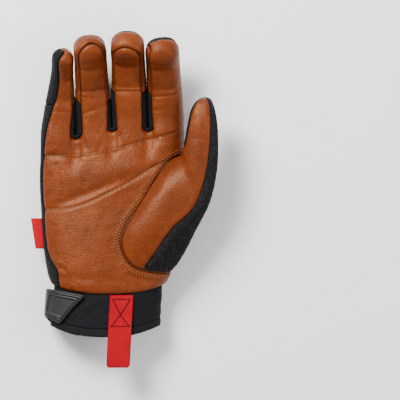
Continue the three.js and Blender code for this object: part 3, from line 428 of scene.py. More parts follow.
class Skin:
    """Triangles whose points keep their flat place, place on the glove, normal and finger."""

    least, least_line = 1e-4, 1e-6
    shortest_line = 3

    def __init__(self, flat: Array, finger: Array, triangles: Array,
                 around: Optional[Array] = None) -> None:
        """Makes a skin.

        Args:
            flat: Places in the pattern.
            finger: Each point's finger, or NO_FINGER.
            triangles: Corner numbers.
            around: For the thumb, each point's direction round its axis and its share of the length.
        """
        self.flat = flat
        self.finger = finger
        self.triangles = triangles
        self.around = np.zeros((len(flat), 3)) if around is None else around
        self.place = flat.copy()
        self.normal = np.zeros_like(flat)

    @property
    def x(self) -> Array:
        """Pattern x."""
        return self.flat[:, 0]

    @property
    def y(self) -> Array:
        """Pattern y."""
        return self.flat[:, 1]

    @property
    def z(self) -> Array:
        """Pattern z."""
        return self.flat[:, 2]

    def of_finger(self, column: str) -> Array:
        """A size of each point's finger, and 0 where there is none."""
        values = np.array([getattr(finger, column) for finger in FINGERS] + [0.0])
        return values[self.finger]

    def root_height(self) -> Array:
        """Height above the root of the point's finger."""
        return self.y - self.of_finger("root")

    def normals(self, places: Array) -> Array:
        """Unit normals of the points.

        Args:
            places: Where the points are.

        Returns:
            One normal a point.
        """
        a, b, c = corners(places, self.triangles)
        faces = np.cross(b - a, c - a)
        sums = np.zeros_like(places)
        for k in range(3):
            for axis in range(3):
                sums[:, axis] += np.bincount(self.triangles[:, k], faces[:, axis], len(places))
        return unit(sums)

    def finish(self) -> "Skin":
        """Turns the faces outwards and fills in the normals.

        Returns:
            The same skin.
        """
        a, b, c = corners(self.place, self.triangles)
        if np.einsum("ij,ij->i", a, np.cross(b, c)).sum() < 0:
            self.triangles = self.triangles[:, ::-1]
        self.normal = self.normals(self.place)
        return self

    def compact(self, triangles: Array) -> "Skin":
        """Keeps some triangles and the points that they use.

        Args:
            triangles: Corner numbers in this skin.

        Returns:
            The smaller skin.
        """
        used, flat_index = np.unique(triangles, return_inverse=True)
        kept = Skin(self.flat[used], self.finger[used], flat_index.reshape(-1, 3), self.around[used])
        kept.place, kept.normal = self.place[used], self.normal[used]
        return kept

    def only(self, test: Array) -> "Skin":
        """Keeps the triangles whose three points pass a test."""
        return self.compact(self.triangles[test[self.triangles].all(axis=1)])

    def below(self, values: Array, level: float) -> "Skin":
        """Cuts the skin where values pass a level and keeps the lower side.

        Args:
            values: One value a point.
            level: The level to cut at.

        Returns:
            The part below the level.
        """
        v = values - level
        v = np.where(np.abs(v) < self.least, self.least, v)
        inside = (v < 0)[self.triangles]
        count = inside.sum(axis=1)
        whole = self.triangles[count == 3]
        parts = [whole]
        cut = (count == 1) | (count == 2)
        tri, ins = self.triangles[cut], inside[cut]
        single = ins.sum(axis=1) == 1
        odd = np.where(single, np.argmax(ins, axis=1), np.argmin(ins, axis=1))
        rows = np.arange(len(tri))
        a, b, c = tri[rows, odd], tri[rows, (odd + 1) % 3], tri[rows, (odd + 2) % 3]
        pairs = np.concatenate([np.sort(np.stack([a, b], 1), 1), np.sort(np.stack([a, c], 1), 1)])
        edges, number = np.unique(pairs, axis=0, return_inverse=True)
        number = number.reshape(-1)
        start = len(self.flat)
        ab, ac = start + number[: len(tri)], start + number[len(tri):]
        parts.append(np.stack([a, ab, ac], 1)[single])
        parts.append(np.stack([ab, b, c], 1)[~single])
        parts.append(np.stack([ab, c, ac], 1)[~single])
        low, high = edges[:, 0], edges[:, 1]
        share = (v[low] / (v[low] - v[high]))[:, None]
        full = Skin(
            np.concatenate([self.flat, mix(self.flat[low], self.flat[high], share)]),
            np.concatenate([self.finger, np.maximum(self.finger[low], self.finger[high])]),
            self.triangles,
            np.concatenate([self.around, mix(self.around[low], self.around[high], share)]),
        )
        full.place = np.concatenate([self.place, mix(self.place[low], self.place[high], share)])
        full.normal = np.concatenate([self.normal, unit(mix(self.normal[low], self.normal[high], share))])
        return full.compact(np.concatenate(parts))

    def split(self, values: Array) -> tuple["Skin", "Skin"]:
        """The side of a seam with negative values and the other one, each half a gap away from it."""
        return self.below(values, -SEAM_GAP / 2), self.below(-values, -SEAM_GAP / 2)

    def largest(self) -> "Skin":
        """The largest connected piece.

        Returns:
            The smaller skin.
        """
        labels = np.arange(len(self.flat))
        while True:
            lowest = labels[self.triangles].min(axis=1)
            spread = labels.copy()
            for k in range(3):
                np.minimum.at(spread, self.triangles[:, k], lowest)
            spread = spread[spread]
            if np.array_equal(spread, labels):
                break
            labels = spread
        roots = labels[self.triangles[:, 0]]
        names, counts = np.unique(roots, return_counts=True)
        return self.compact(self.triangles[roots == names[np.argmax(counts)]])

    def rim_edges(self) -> Array:
        """The directed edges that belong to one triangle only.

        Returns:
            Pairs of point numbers.
        """
        t = self.triangles
        edges = np.concatenate([t[:, [0, 1]], t[:, [1, 2]], t[:, [2, 0]]])
        keys = edges[:, 0] * len(self.flat) + edges[:, 1]
        reverse = edges[:, 1] * len(self.flat) + edges[:, 0]
        return edges[~np.isin(keys, reverse)]

    def rim_distance(self) -> Array:
        """Each point's distance from the panel's edge.

        Returns:
            The distances.
        """
        rim = np.unique(self.rim_edges())
        tree = KDTree(len(rim))
        for i, index in enumerate(rim):
            tree.insert(self.place[index], i)
        tree.balance()
        return np.array([tree.find(p)[2] for p in self.place])

    def contour(self, values: Array, level: float) -> list[Array]:
        """Lines where values pass a level.

        Args:
            values: One value a point.
            level: The level.

        Returns:
            Polylines whose rows hold a place, a normal and the flat place.
        """
        v = values - level
        v = np.where(np.abs(v) < self.least_line, self.least_line, v)
        data = np.concatenate([self.place, self.normal, self.flat], axis=1)
        links: dict[tuple[int, int], list[tuple[int, int]]] = {}
        spots: dict[tuple[int, int], Array] = {}
        crossing = np.ptp((v < 0)[self.triangles].astype(int), axis=1) > 0
        for tri in self.triangles[crossing]:
            ends = []
            for p, q in ((tri[0], tri[1]), (tri[1], tri[2]), (tri[2], tri[0])):
                if (v[p] < 0) != (v[q] < 0):
                    key = (int(min(p, q)), int(max(p, q)))
                    ends.append(key)
                    if key not in spots:
                        share = v[key[0]] / (v[key[0]] - v[key[1]])
                        spots[key] = mix(data[key[0]], data[key[1]], share)
            links.setdefault(ends[0], []).append(ends[1])
            links.setdefault(ends[1], []).append(ends[0])
        lines = []
        left = set(links)
        starts = [key for key, near in links.items() if len(near) == 1] + list(links)
        for start in starts:
            if start not in left:
                continue
            chain = [start]
            left.discard(start)
            while True:
                following = [key for key in links[chain[-1]] if key in left]
                if not following:
                    break
                chain.append(following[0])
                left.discard(following[0])
            if len(chain) <= self.shortest_line:
                continue
            if start in links[chain[-1]]:
                chain.append(start)
            lines.append(np.array([spots[key] for key in chain]))
        return lines


@dataclass
class Hand:
    """The hand's skin without the thumb, from flat pattern to curled glove."""

    arc_parts: int = 22
    dome_rings: int = 16
    palm_rows: int = 136
    finger_step: float = 0.95
    blend_reach: float = 36.0
    web_dip: float = 0.8
    front_foot: float = -3.4
    back_foot: float = -1.0
    side_foot: float = 4.4
    bend_step: float = 0.2
    bend_reach: float = 14.0
    roll_reach: float = 45.0
    lean_from: float = 4.0
    crease_side: float = 6.0

    def ring_angles(self) -> Array:
        """Angles round a finger: palm strip, little-finger side, back strip and thumb side.

        Returns:
            Degrees.
        """
        turns = [EDGE_ANGLE, 180 - EDGE_ANGLE, 180 + EDGE_ANGLE, 360 - EDGE_ANGLE, 360 + EDGE_ANGLE]
        steps = [np.linspace(a, b, self.arc_parts, endpoint=False) for a, b in zip(turns, turns[1:])]
        return np.concatenate(steps)

    def finger_rings(self, finger: Finger) -> Array:
        """A finger's rings of flat places, from its root to just before its tip.

        Args:
            finger: The finger.

        Returns:
            An array of rings, points and coordinates.
        """
        angles = self.ring_angles()
        dome = finger.tip_width * TIP_DOME
        straight = np.arange(0, finger.length - dome, self.finger_step)
        round_end = finger.length - dome + dome * np.sin(np.linspace(0, math.pi / 2, self.dome_rings)[:-1])
        stops = np.concatenate([straight, round_end])
        half_width, depth = finger_section(finger, stops)
        x, z = section_point(angles[None, :], half_width[:, None], depth[:, None], depth[:, None])
        root = mix(finger.root_in, finger.root_out, (x / finger.width + 1) / 2)
        y = mix(root, finger.root + finger.length, (stops / finger.length)[:, None])
        return np.stack([finger.x + x, y, z], axis=-1)

    def column_angle(self, flat: Array, turn: Optional[float]) -> float:
        """The angle round the palm below a point at the fingers' roots.

        Args:
            flat: The point's flat place.
            turn: Its angle round its finger, or None on a web.

        Returns:
            Degrees round the palm.
        """
        middle, half_width, _, _ = tube_section(PALM, flat[1])

        def angle_of(x: float) -> float:
            """The palm's angle below pattern x."""
            across = float(np.clip(power((x - middle) / half_width, ROUNDNESS / 2), -1, 1))
            return math.degrees(math.acos(across))

        edge = FINGERS[INDEX].width * math.cos(math.radians(EDGE_ANGLE)) ** (2 / ROUNDNESS)
        if turn is not None:
            spread = (turn + 180) % 360 - 180
            if abs(spread) < EDGE_ANGLE and flat[0] > FINGERS[INDEX].x:
                return spread / EDGE_ANGLE * angle_of(FINGERS[INDEX].x + edge)
            if abs(turn - 180) < EDGE_ANGLE and flat[0] < FINGERS[LITTLE].x:
                return 180 + (turn - 180) / EDGE_ANGLE * (180 - angle_of(FINGERS[LITTLE].x - edge))
        return angle_of(flat[0]) if flat[2] > 0 else -angle_of(flat[0])

    def bottom_edge(self, angle: float) -> float:
        """Height of the palm skin's lower edge at an angle round the palm."""
        side = math.cos(math.radians(angle)) ** 2
        foot = self.front_foot if math.sin(math.radians(angle)) > 0 else self.back_foot
        return float(mix(foot, self.side_foot, side))

    def build(self) -> Skin:
        """Makes the hand's skin in its flat pattern.

        Returns:
            The skin, with each point's height above the palm's lower edge in its around column 0.
        """
        parts = self.arc_parts
        ring = 4 * parts
        turns = self.ring_angles() % 360
        flats: list[Array] = []
        fingers: list[Array] = []
        faces: list[Array] = []
        edges: list[Array] = []
        count = 0

        def add(points: Array, owner: int, above: Optional[Array] = None) -> int:
            """Adds points.

            Args:
                points: Their flat places.
                owner: Their finger, or NO_FINGER.
                above: Their heights above the palm's lower edge.

            Returns:
                The number of the first point.
            """
            nonlocal count
            flats.append(points)
            fingers.append(np.full(len(points), owner))
            edges.append(np.full(len(points), FAR) if above is None else above)
            count += len(points)
            return count - len(points)

        def grid(first: Array, second: Array, closed: bool) -> None:
            """Joins two rows of points with triangles, all the way round where they are closed."""
            a, b = (np.append(row, row[0]) if closed else row for row in (first, second))
            faces.extend([np.stack([a[:-1], b[:-1], b[1:]], 1), np.stack([a[:-1], b[1:], a[1:]], 1)])

        roots = []
        for owner, finger in enumerate(FINGERS):
            rings = self.finger_rings(finger)
            start = add(rings.reshape(-1, 3), owner)
            numbers = start + np.arange(rings.shape[0] * ring).reshape(-1, ring)
            for lower, upper in zip(numbers, numbers[1:]):
                grid(lower, upper, True)
            tip = add(np.array([[finger.x, finger.root + finger.length, 0.0]]), owner)
            last = numbers[-1]
            faces.append(np.stack([last, np.full(ring, tip), np.roll(last, -1)], 1))
            roots.append(numbers[0])
        root_flats = np.concatenate(flats)
        webs = []
        for a, b in ((INDEX, MIDDLE), (MIDDLE, RING_FINGER), (RING_FINGER, LITTLE)):
            left = roots[a][parts:2 * parts + 1]
            right = roots[b][(ring - np.arange(parts + 1)) % ring]
            middle = (root_flats[left] + root_flats[right]) / 2 - [0, self.web_dip, 0]
            start = add(middle, NO_FINGER)
            web = start + np.arange(parts + 1)
            grid(web, left, False)
            grid(right, web, False)
            webs.append(web)
        root_flats = np.concatenate(flats)

        def arc(finger: int, low: int, high: int) -> list[tuple[int, Optional[float]]]:
            """Root points of a finger from one ring number to another, with their turns."""
            return [(int(roots[finger][i % ring]), float(turns[i % ring])) for i in range(low, high + 1)]

        top = arc(INDEX, 3 * parts, 5 * parts) + [(int(webs[0][0]), None)]
        top += arc(MIDDLE, 0, parts) + [(int(webs[1][0]), None)]
        top += arc(RING_FINGER, 0, parts) + [(int(webs[2][0]), None)]
        top += arc(LITTLE, 0, 3 * parts) + [(int(webs[2][parts]), None)]
        top += arc(RING_FINGER, 2 * parts, 3 * parts) + [(int(webs[1][parts]), None)]
        top += arc(MIDDLE, 2 * parts, 3 * parts) + [(int(webs[0][parts]), None)]
        top += arc(INDEX, 2 * parts, 3 * parts - 1)
        rows = np.linspace(0, 1, self.palm_rows)[:-1]
        columns = []
        for index, turn in top:
            flat = root_flats[index]
            angle = self.column_angle(flat, turn)
            bottom = self.bottom_edge(angle)
            y = mix(bottom, flat[1], rows)
            middle, half_width, front, back = tube_section(PALM, y)
            x, z = section_point(angle, half_width, front, back)
            blend = ease((y - flat[1] + self.blend_reach) / self.blend_reach)
            points = np.stack([mix(middle + x, flat[0], blend), y, mix(z, flat[2], blend)], 1)
            start = add(points, NO_FINGER, y - bottom)
            columns.append(np.append(start + np.arange(len(points)), index))
        for column, after in zip(columns, columns[1:] + columns[:1]):
            grid(after, column, False)
        around = np.zeros((count, 3))
        around[:, 0] = np.concatenate(edges)
        return Skin(np.concatenate(flats), np.concatenate(fingers), np.concatenate(faces), around)

    def curl(self, skin: Skin, pressed: Array) -> Array:
        """Bends the fingers towards the palm at their joints, with a lean and a roll.

        Args:
            skin: The hand's skin.
            pressed: Flat places with their folds pressed in.

        Returns:
            Places on the glove.
        """
        place = pressed.copy()
        for owner, finger in enumerate(FINGERS):
            chosen = (skin.finger == owner) & (pressed[:, 1] > finger.root)
            x, y, z = pressed[chosen].T
            t = y - finger.root
            grid = np.arange(0, finger.length + self.lean_from, self.bend_step)
            angle = sum(np.radians(bend) * ease((grid - at) / self.bend_reach + 0.5)
                        for at, bend in finger.joints)
            mean = (angle[1:] + angle[:-1]) / 2
            travel = [np.append(0, np.cumsum(part(mean) * self.bend_step)) for part in (np.cos, np.sin)]
            forward, up, bend = (np.interp(t, grid, values) for values in (*travel, angle))
            roll = -np.radians(finger.roll) * ease(t / self.roll_reach)
            across = (x - finger.x) * np.cos(roll) - z * np.sin(roll)
            outward = (x - finger.x) * np.sin(roll) + z * np.cos(roll)
            place[chosen] = np.stack([
                finger.x + across + finger.lean * np.maximum(0, forward - self.lean_from),
                finger.root + forward - outward * np.sin(bend),
                up + outward * np.cos(bend),
            ], 1)
        return above_floor(place)

    def shape(self, skin: Skin) -> Skin:
        """Presses the folds in, curls the fingers and fills in places and normals.

        Args:
            skin: The flat skin from build.

        Returns:
            The same skin, shaped.
        """
        x, y, z = skin.flat.T
        depth = np.zeros(len(x))
        for fold in FOLDS:
            depth += np.where(z > 0, fold.depth * bump(fold.away(x, y), fold.width), 0)
        for owner, finger in enumerate(FINGERS):
            for at, _ in finger.joints[1:]:
                crease = bump(y - finger.root - at, CREASE_WIDTH) * ease(z / self.crease_side)
                depth += np.where(skin.finger == owner, CREASE_DEPTH * crease, 0)
        depth += TUCK_DEPTH * bump(skin.around[:, 0], TUCK_REACH)
        pressed = skin.flat - skin.normals(skin.flat) * depth[:, None]
        skin.place = self.curl(skin, pressed)
        return skin.finish()


@dataclass(frozen=True)
class Fold:
    """A soft fold or dent pressed into the palm side along a straight line."""

    start: tuple[float, float]
    end: tuple[float, float]
    depth: float
    width: float
    lip, lip_away, lip_width = 0.3, 3.2, 2.0

    def lift(self, skin: Skin) -> Array:
        """How far the fold presses each point in, with low lips beside it."""
        away = self.away(skin.x, skin.y)
        return self.depth * (self.lip * bump(away - self.lip_away, self.lip_width) - bump(away, self.width))

    def away(self, x: Array, y: Array) -> Array:
        """Distance from the fold's line in the pattern.

        Args:
            x: Pattern x.
            y: Pattern y.

        Returns:
            The distances.
        """
        dx, dy = self.end[0] - self.start[0], self.end[1] - self.start[1]
        share = np.clip(((x - self.start[0]) * dx + (y - self.start[1]) * dy) / (dx * dx + dy * dy), 0, 1)
        return np.hypot(x - self.start[0] - share * dx, y - self.start[1] - share * dy)


FOLDS = (
    Fold((-58, 106), (52, 122), 0.9, 4),
    Fold((-56, 63), (49, 104), 1.1, 4),
    Fold((-30, 76), (20, 78), 1.4, 22),
    Fold((-50, 10), (30, 6), 0.7, 5),
)
PALM_WRINKLES = (
    Fold((-32.5, 119), (-36, 109), 0.42, 2.2),
    Fold((-29, 116), (-27, 104), 0.2, 2.6),
    Fold((-23.5, 120), (-17.5, 108), 0.4, 2.3),
    Fold((-4.5, 127), (-11, 112), 0.46, 2.4),
    Fold((0.2, 123), (3, 110), 0.2, 2.6),
    Fold((5, 127), (10.5, 114), 0.4, 2.3),
    Fold((24.5, 128), (21, 117), 0.36, 2.2),
    Fold((31, 126), (36, 119), 0.4, 2.3),
    Fold((-50, 22), (-38, 16), 0.6, 1.8),
    Fold((12, 12), (28, 8), 0.4, 1.8),
    Fold((-44, 100), (-40, 76), 0.3, 2.0),
    Fold((-24, 98), (-22, 84), 0.25, 1.8),
)
CREASE_DEPTH, CREASE_WIDTH = 0.32, 3.8
TUCK_DEPTH, TUCK_REACH = 2.0, 5.0
GUSSET_PUFF, GUSSET_PUFF_WIDTH = 0.85, 7.0


@dataclass(frozen=True)
class SewnGroove:
    """The groove of a stitched line on the palm, with raised lips."""

    depth: float = 0.7
    width: float = 0.9
    lip: float = 0.16
    lip_away: float = 3.0
    lip_width: float = 2.2

    def lift(self, away: Array) -> Array:
        """How far points at a distance from the line are pressed in."""
        lips = self.lip * bump(np.abs(away) - self.lip_away, self.lip_width)
        return lips - self.depth * bump(away, self.width)


@dataclass(frozen=True)
class FingerFold:
    """A crease across the palm side of a finger, from its little-finger side to its thumb side."""

    finger: int
    low: float
    high: float
    depth: float
    width: float
    ledge: float = 0.0
    reach: tuple[float, float] = (-1.3, 1.3)
    lip, lip_away, lip_width = 0.06, 2.4, 1.5
    ledge_slack, ledge_from, ledge_rise, ledge_reach = 3.5, -0.3, 1.1, 11.0
    fade = 0.5

    def lift(self, skin: Skin) -> Array:
        """How far the crease presses each point in, with soft lips beside it and a ledge past it.

        Args:
            skin: The palm leather's skin.

        Returns:
            Lifts in millimetres.
        """
        owner = FINGERS[self.finger]
        across = (skin.x - owner.x) / owner.width
        away = skin.root_height() - mix(self.low, self.high, (across + 1) / 2)
        slope = np.where((away < 0) & (self.ledge > 0), self.ledge_slack * self.width, self.width)
        lips = self.lip * bump(np.abs(away) - self.lip_away * self.width, self.lip_width)
        step = ease((away - self.ledge_from) / self.ledge_rise) * (1 - ease(away / self.ledge_reach))
        pressed = self.depth * (lips - bump(away, slope)) + self.ledge * step
        fade = ease((across - self.reach[0]) / self.fade) * ease((self.reach[1] - across) / self.fade)
        return np.where((skin.finger == self.finger) & (skin.z > 0), pressed * fade, 0)


FINGER_FOLDS = (
    FingerFold(INDEX, 25.2, 28.4, 0.7, 1.0),
    FingerFold(INDEX, 14.0, 19.0, 0.32, 1.6, reach=(-1.2, 0.3)),
    FingerFold(MIDDLE, 32.2, 32.4, 0.6, 0.8, ledge=0.42),
    FingerFold(MIDDLE, 61.0, 60.0, 0.12, 2.6),
    FingerFold(RING_FINGER, 14.5, 23.5, 0.55, 1.7),
    FingerFold(RING_FINGER, 35.0, 38.0, 0.35, 2.4),
    FingerFold(LITTLE, 21.0, 19.5, 0.42, 1.4),
)


@dataclass(frozen=True)
class SeamFields:
    """Fields over the hand's skin: each is negative on one side of a seam and in millimetres across it."""

    thumb_seam: SeamCurve = SeamCurve(THUMB_SEAM)
    panel_top: SeamCurve = SeamCurve(PANEL_TOP)
    panel_foot: SeamCurve = SeamCurve(PANEL_FOOT)
    hole: ThumbHole = ThumbHole()
    slots: tuple[tuple[float, float, str], ...] = tuple(
        ((a.x + b.x) / 2, a.root_in, f"{a.name}_{b.name}") for a, b in zip(FINGERS, FINGERS[1:]))
    patch_x: float = -4.2
    patch_y: float = 38.0
    patch_half_width: float = 6.6
    patch_half_length: float = 15.5

    def band(self, skin: Skin) -> Array:
        """Negative on the front and back strips, positive in side bands and slots and over the tips.

        Args:
            skin: Part of the hand's skin.

        Returns:
            One value a point.
        """
        t = skin.root_height()
        length, tip_width = skin.of_finger("length"), skin.of_finger("tip_width")
        share = t / np.maximum(length, 1)
        part = mix(STRIP_AT_ROOT, STRIP_AT_TIP, ease(t / STRIP_REACH))
        strip = part * mix(skin.of_finger("width"), tip_width, ease(share * TAPER))
        offset = skin.x - skin.of_finger("x")
        outer = ((skin.finger == INDEX) & (offset > 0)) | ((skin.finger == LITTLE) & (offset < 0))
        side = (offset - np.array([*STRIP_SKEW, 0])[skin.finger]) * np.where(outer, OUTER_SIDE_SHARE, 1)
        wrapped = np.where(skin.finger == RING_FINGER, RING_TIP_WRAP * ease(-skin.z / RING_WRAP_REACH), 0)
        strip_top = length - skin.of_finger("strip_end") - wrapped - STRIP_AT_TIP * tip_width
        on_finger = np.hypot(side, np.maximum(0, t - strip_top)) - strip
        palm = np.full(len(skin.flat), -np.inf)
        for slot_x, slot_y, _ in self.slots:
            below = np.maximum(0, slot_y - skin.y)
            front = SLOT_HALF - np.hypot(skin.x - slot_x, below * SLOT_HALF / SLOT_DEPTH)
            back = SLOT_HALF - np.abs(skin.x - slot_x) - below * BACK_SLOT_SLOPE
            palm = np.maximum(palm, np.where(skin.z > 0, front, back))
        return np.where(skin.finger >= 0, on_finger, palm)

    def side(self, skin: Skin) -> Array:
        """Negative on the palm side's leather, positive on the back of the hand.

        Args:
            skin: Part of the hand's skin.

        Returns:
            One value a point.
        """
        middle, half_width, _, _ = tube_section(PALM, skin.y)
        finger_half = np.zeros(len(skin.flat))
        for owner, finger in enumerate(FINGERS):
            own, _ = finger_section(finger, skin.y - finger.root)
            finger_half = np.where(skin.finger == owner, own, finger_half)
        on_finger = skin.finger >= 0
        little_edge = np.where(on_finger, skin.of_finger("x") - finger_half, middle - half_width)
        thumb_edge = np.where(on_finger, skin.of_finger("x") + finger_half, middle + half_width)
        front = little_edge + LITTLE_WRAP.read("width", skin.y) - skin.x
        front = np.where(on_finger & (skin.finger != LITTLE), -FAR, front)
        back = thumb_edge - THUMB_WRAP.read("width", skin.y) - skin.x
        back = np.where(on_finger & (skin.finger != INDEX), FAR, back)
        over_tip = ease((skin.root_height() - skin.of_finger("length") + TIP_TURN[0]) / TIP_TURN[1])
        return np.where(skin.z >= skin.of_finger("tip_z") * over_tip, front, back)

    def thumb_hole(self, skin: Skin) -> Array:
        """Negative inside the hole where the thumb is set in.

        Args:
            skin: Part of the hand's skin.

        Returns:
            One value a point.
        """
        seam = -self.thumb_seam.distance(skin.x, skin.y)
        hole = self.hole
        depth = hole.top_z - hole.bottom_z
        across = (2 * skin.y - hole.low_y - hole.high_y) / (hole.high_y - hole.low_y)
        reach = np.hypot(across, (hole.top_z - skin.z) / depth)
        below = np.maximum(seam, (reach - 1) * depth)
        return np.where(skin.finger >= 0, FAR, np.where(skin.z >= hole.top_z, seam, below))

    def wrap(self, skin: Skin) -> Array:
        """Negative in the leather bands beyond the black gussets."""
        value = skin.of_finger("gusset_end") - skin.root_height() - skin.z * GUSSET_SLANT
        return np.where(skin.finger >= 0, value, FAR)

    def cap(self, skin: Skin) -> Array:
        """Negative on the caps over the backs of the fingertips."""
        start = skin.of_finger("length") - skin.of_finger("cap") - skin.root_height()
        return np.where(skin.finger >= 0, np.maximum(start, skin.z - skin.of_finger("cap_z")), FAR)

    def outer_back(self, skin: Skin) -> Array:
        """Negative on the smooth outer part of a finger's back, past its arched seam.

        Args:
            skin: Part of the hand's skin.

        Returns:
            One value a point.
        """
        across = (skin.x - skin.of_finger("x")) / np.maximum(skin.of_finger("width"), 1)
        seam = skin.of_finger("back_seam")
        value = seam + BACK_SEAM_ARCH * (1 - across**2) - skin.root_height()
        return np.where((skin.finger >= 0) & (seam > 0), value, FAR)

    def patch(self, skin: Skin) -> Array:
        """Negative inside the oval patch on the index finger.

        Args:
            skin: Part of the hand's skin.

        Returns:
            One value a point.
        """
        across = (skin.x - skin.of_finger("x") - self.patch_x) / self.patch_half_width
        up = (skin.root_height() - self.patch_y) / self.patch_half_length
        return np.where(skin.finger == INDEX, (np.hypot(across, up) - 1) * self.patch_half_width, FAR)

    def cloth(self, skin: Skin) -> Array:
        """Negative on the black cloth, above the red panel and down its little-finger edge.

        Args:
            skin: Part of the hand's skin.

        Returns:
            One value a point.
        """
        middle, half_width, _, _ = tube_section(PALM, skin.y)
        top = self.panel_top.distance(skin.x, skin.y)
        edge = skin.x - (middle - half_width + PANEL_EDGE)
        value = np.minimum(np.minimum(top, edge), np.where(skin.x < 0, -skin.z, FAR))
        return np.where(skin.finger >= 0, -FAR, value)

    def wrist(self, skin: Skin) -> Array:
        """Negative on the leather at the wrist, below the red panel."""
        return -self.panel_foot.distance(skin.x, skin.y)


class Slot(Enum):
    """The record's material slots."""

    LEATHER = "leather"
    BLACK_FABRIC = "black_fabric"
    RED_FABRIC = "red_fabric"
    OLIVE_PATCH = "olive_patch"
    TERRY = "terry"
    NEOPRENE = "neoprene"
    BINDING = "binding"
    MOULDED_RUBBER = "moulded_rubber"
    RED_WEBBING = "red_webbing"
    RED_TAG = "red_tag"


class Texture(Enum):
    """How a finish's surface is broken up."""

    HIDE = "hide"
    RIBBED = "ribbed"
    KNIT = "knit"
    PILE = "pile"
    FOAM = "foam"
    TAPE = "tape"
    RUBBER = "rubber"
    WEBBING = "webbing"
    SUEDE = "suede"
    THREAD = "thread"


@dataclass(frozen=True)
class Finish:
    """A material: three tones, its roughness, its texture and how deep that is in millimetres."""

    name: str
    texture: Texture
    dark: Colour
    mid: Colour
    light: Colour
    roughness: float
    relief: float
    sheen: float = 0.0
    specular: float = 0.4
    pitch: float = 2.1
    gleam: Colour = (1.0, 1.0, 1.0)


LEATHER = Finish("grain_leather", Texture.HIDE, (0.030, 0.0049, 0.0010), (0.113, 0.0178, 0.0025),
                 (0.205, 0.042, 0.0070), 0.45, 0.27, specular=0.38, gleam=(1.0, 0.62, 0.38))
RIBBED_BLACK = Finish("ribbed_black_cloth", Texture.RIBBED, (0.002, 0.002, 0.0022), (0.0055, 0.0055, 0.006),
                      (0.015, 0.015, 0.016), 0.9, 0.42, sheen=0.03, specular=0.12)
RIBBED_RED = Finish("ribbed_red_cloth", Texture.RIBBED, (0.15, 0.0004, 0.004), (0.43, 0.0006, 0.0085),
                    (0.58, 0.002, 0.016), 0.85, 0.42, specular=0.06)
SMOOTH_BLACK = Finish("smooth_black_cloth", Texture.KNIT, (0.0015, 0.0015, 0.0016), (0.004, 0.004, 0.0043),
                      (0.010, 0.010, 0.011), 0.8, 0.08, specular=0.12)
OLIVE_SUEDE = Finish("olive_suede", Texture.SUEDE, (0.006, 0.0055, 0.0035), (0.015, 0.0135, 0.0095),
                     (0.034, 0.031, 0.023), 0.85, 0.10, sheen=0.06, specular=0.12)
TERRY = Finish("black_terry", Texture.PILE, (0.006, 0.0058, 0.0058), (0.021, 0.020, 0.020),
               (0.085, 0.081, 0.080), 0.95, 0.6, sheen=0.12, specular=0.06)
NEOPRENE = Finish("black_neoprene", Texture.FOAM, (0.002, 0.0019, 0.0026), (0.0038, 0.0036, 0.005),
                  (0.008, 0.0075, 0.0102), 0.7, 0.07, specular=0.12)
BINDING = Finish("black_binding", Texture.TAPE, (0.003, 0.0028, 0.0027), (0.0068, 0.0063, 0.0061),
                 (0.017, 0.0158, 0.0153), 0.8, 0.14, specular=0.12, pitch=0.9)
RUBBER = Finish("grey_rubber", Texture.RUBBER, (0.005, 0.005, 0.0053), (0.0142, 0.0142, 0.0146),
                (0.024, 0.024, 0.025), 0.5, 0.03, specular=0.3)
WEBBING = Finish("red_webbing", Texture.WEBBING, (0.22, 0.0004, 0.006), (0.47, 0.0005, 0.0105),
                 (0.62, 0.002, 0.018), 0.7, 0.8, specular=0.09, pitch=1.7)
TAG = Finish("red_tag", Texture.WEBBING, (0.20, 0.0004, 0.005), (0.42, 0.0006, 0.0085),
             (0.52, 0.002, 0.014), 0.7, 0.1, specular=0.07, pitch=0.7)
TAN_THREAD = Finish("tan_thread", Texture.THREAD, (0.10, 0.030, 0.008), (0.22, 0.078, 0.021),
                    (0.34, 0.145, 0.048), 0.6, 0.05)
# Dark marks at the stitches' ends: painted shade for the shadow inside the needle holes.
NEEDLE_HOLE_SHADE = Finish("needle_hole_shade", Texture.THREAD, (0.010, 0.003, 0.001), (0.020, 0.006, 0.002),
                     (0.035, 0.010, 0.004), 0.9, 0.02, specular=0.05)
BLACK_THREAD = Finish("black_thread", Texture.THREAD, (0.0015, 0.0015, 0.0015), (0.004, 0.004, 0.0042),
                      (0.012, 0.012, 0.013), 0.6, 0.05, specular=0.2)
RED_THREAD = Finish("dark_red_thread", Texture.THREAD, (0.08, 0.001, 0.004), (0.20, 0.002, 0.008),
                    (0.32, 0.01, 0.018), 0.6, 0.05, specular=0.2)


@dataclass(frozen=True)
class Grain:
    """A noise: its waves a millimetre, its detail, roughness and distortion."""

    scale: float
    detail: float = 3.0
    rough: float = 0.55
    distortion: float = 0.0


HIDE_PEBBLE_SCALE, HIDE_PEBBLE_SPREAD, HIDE_PEBBLE = 0.72, 0.95, 0.5
HIDE_CREASES, HIDE_CREASE = Grain(0.32, 5, 0.62, 0.6), 0.8
HIDE_PORES, HIDE_PORE = Grain(3.2, 2), 0.25
HIDE_LINES, HIDE_LINE_STRETCH = Grain(0.10, 2, 0.45, 0.2), (1.0, 0.42, 1.0)
HIDE_LINE_WIDTH, HIDE_LINE = 0.022, -0.45
HIDE_LINE_PLACES, HIDE_LINE_RANGE = Grain(0.03), (0.44, 0.62)
HIDE_BROAD, HIDE_BROAD_RANGE, HIDE_BROAD_SHARE = Grain(0.035, 3, 0.6), (0.32, 0.68), 0.26
HIDE_MOTTLE, HIDE_MOTTLE_RANGE, HIDE_MOTTLE_SHARE = Grain(0.22, 5, 0.65, 0.8), (0.3, 0.72), 0.2
HIDE_TONE = 0.27
RIB_SHARPNESS, YARNS_A_RIB, YARN = 0.6, 2.2, 0.08
KNIT_TURN = 5.5
WEBBING_ROWS = 1.3
PILE_FLUFF, PILE_SCALE = Grain(1.2, 3), 0.85
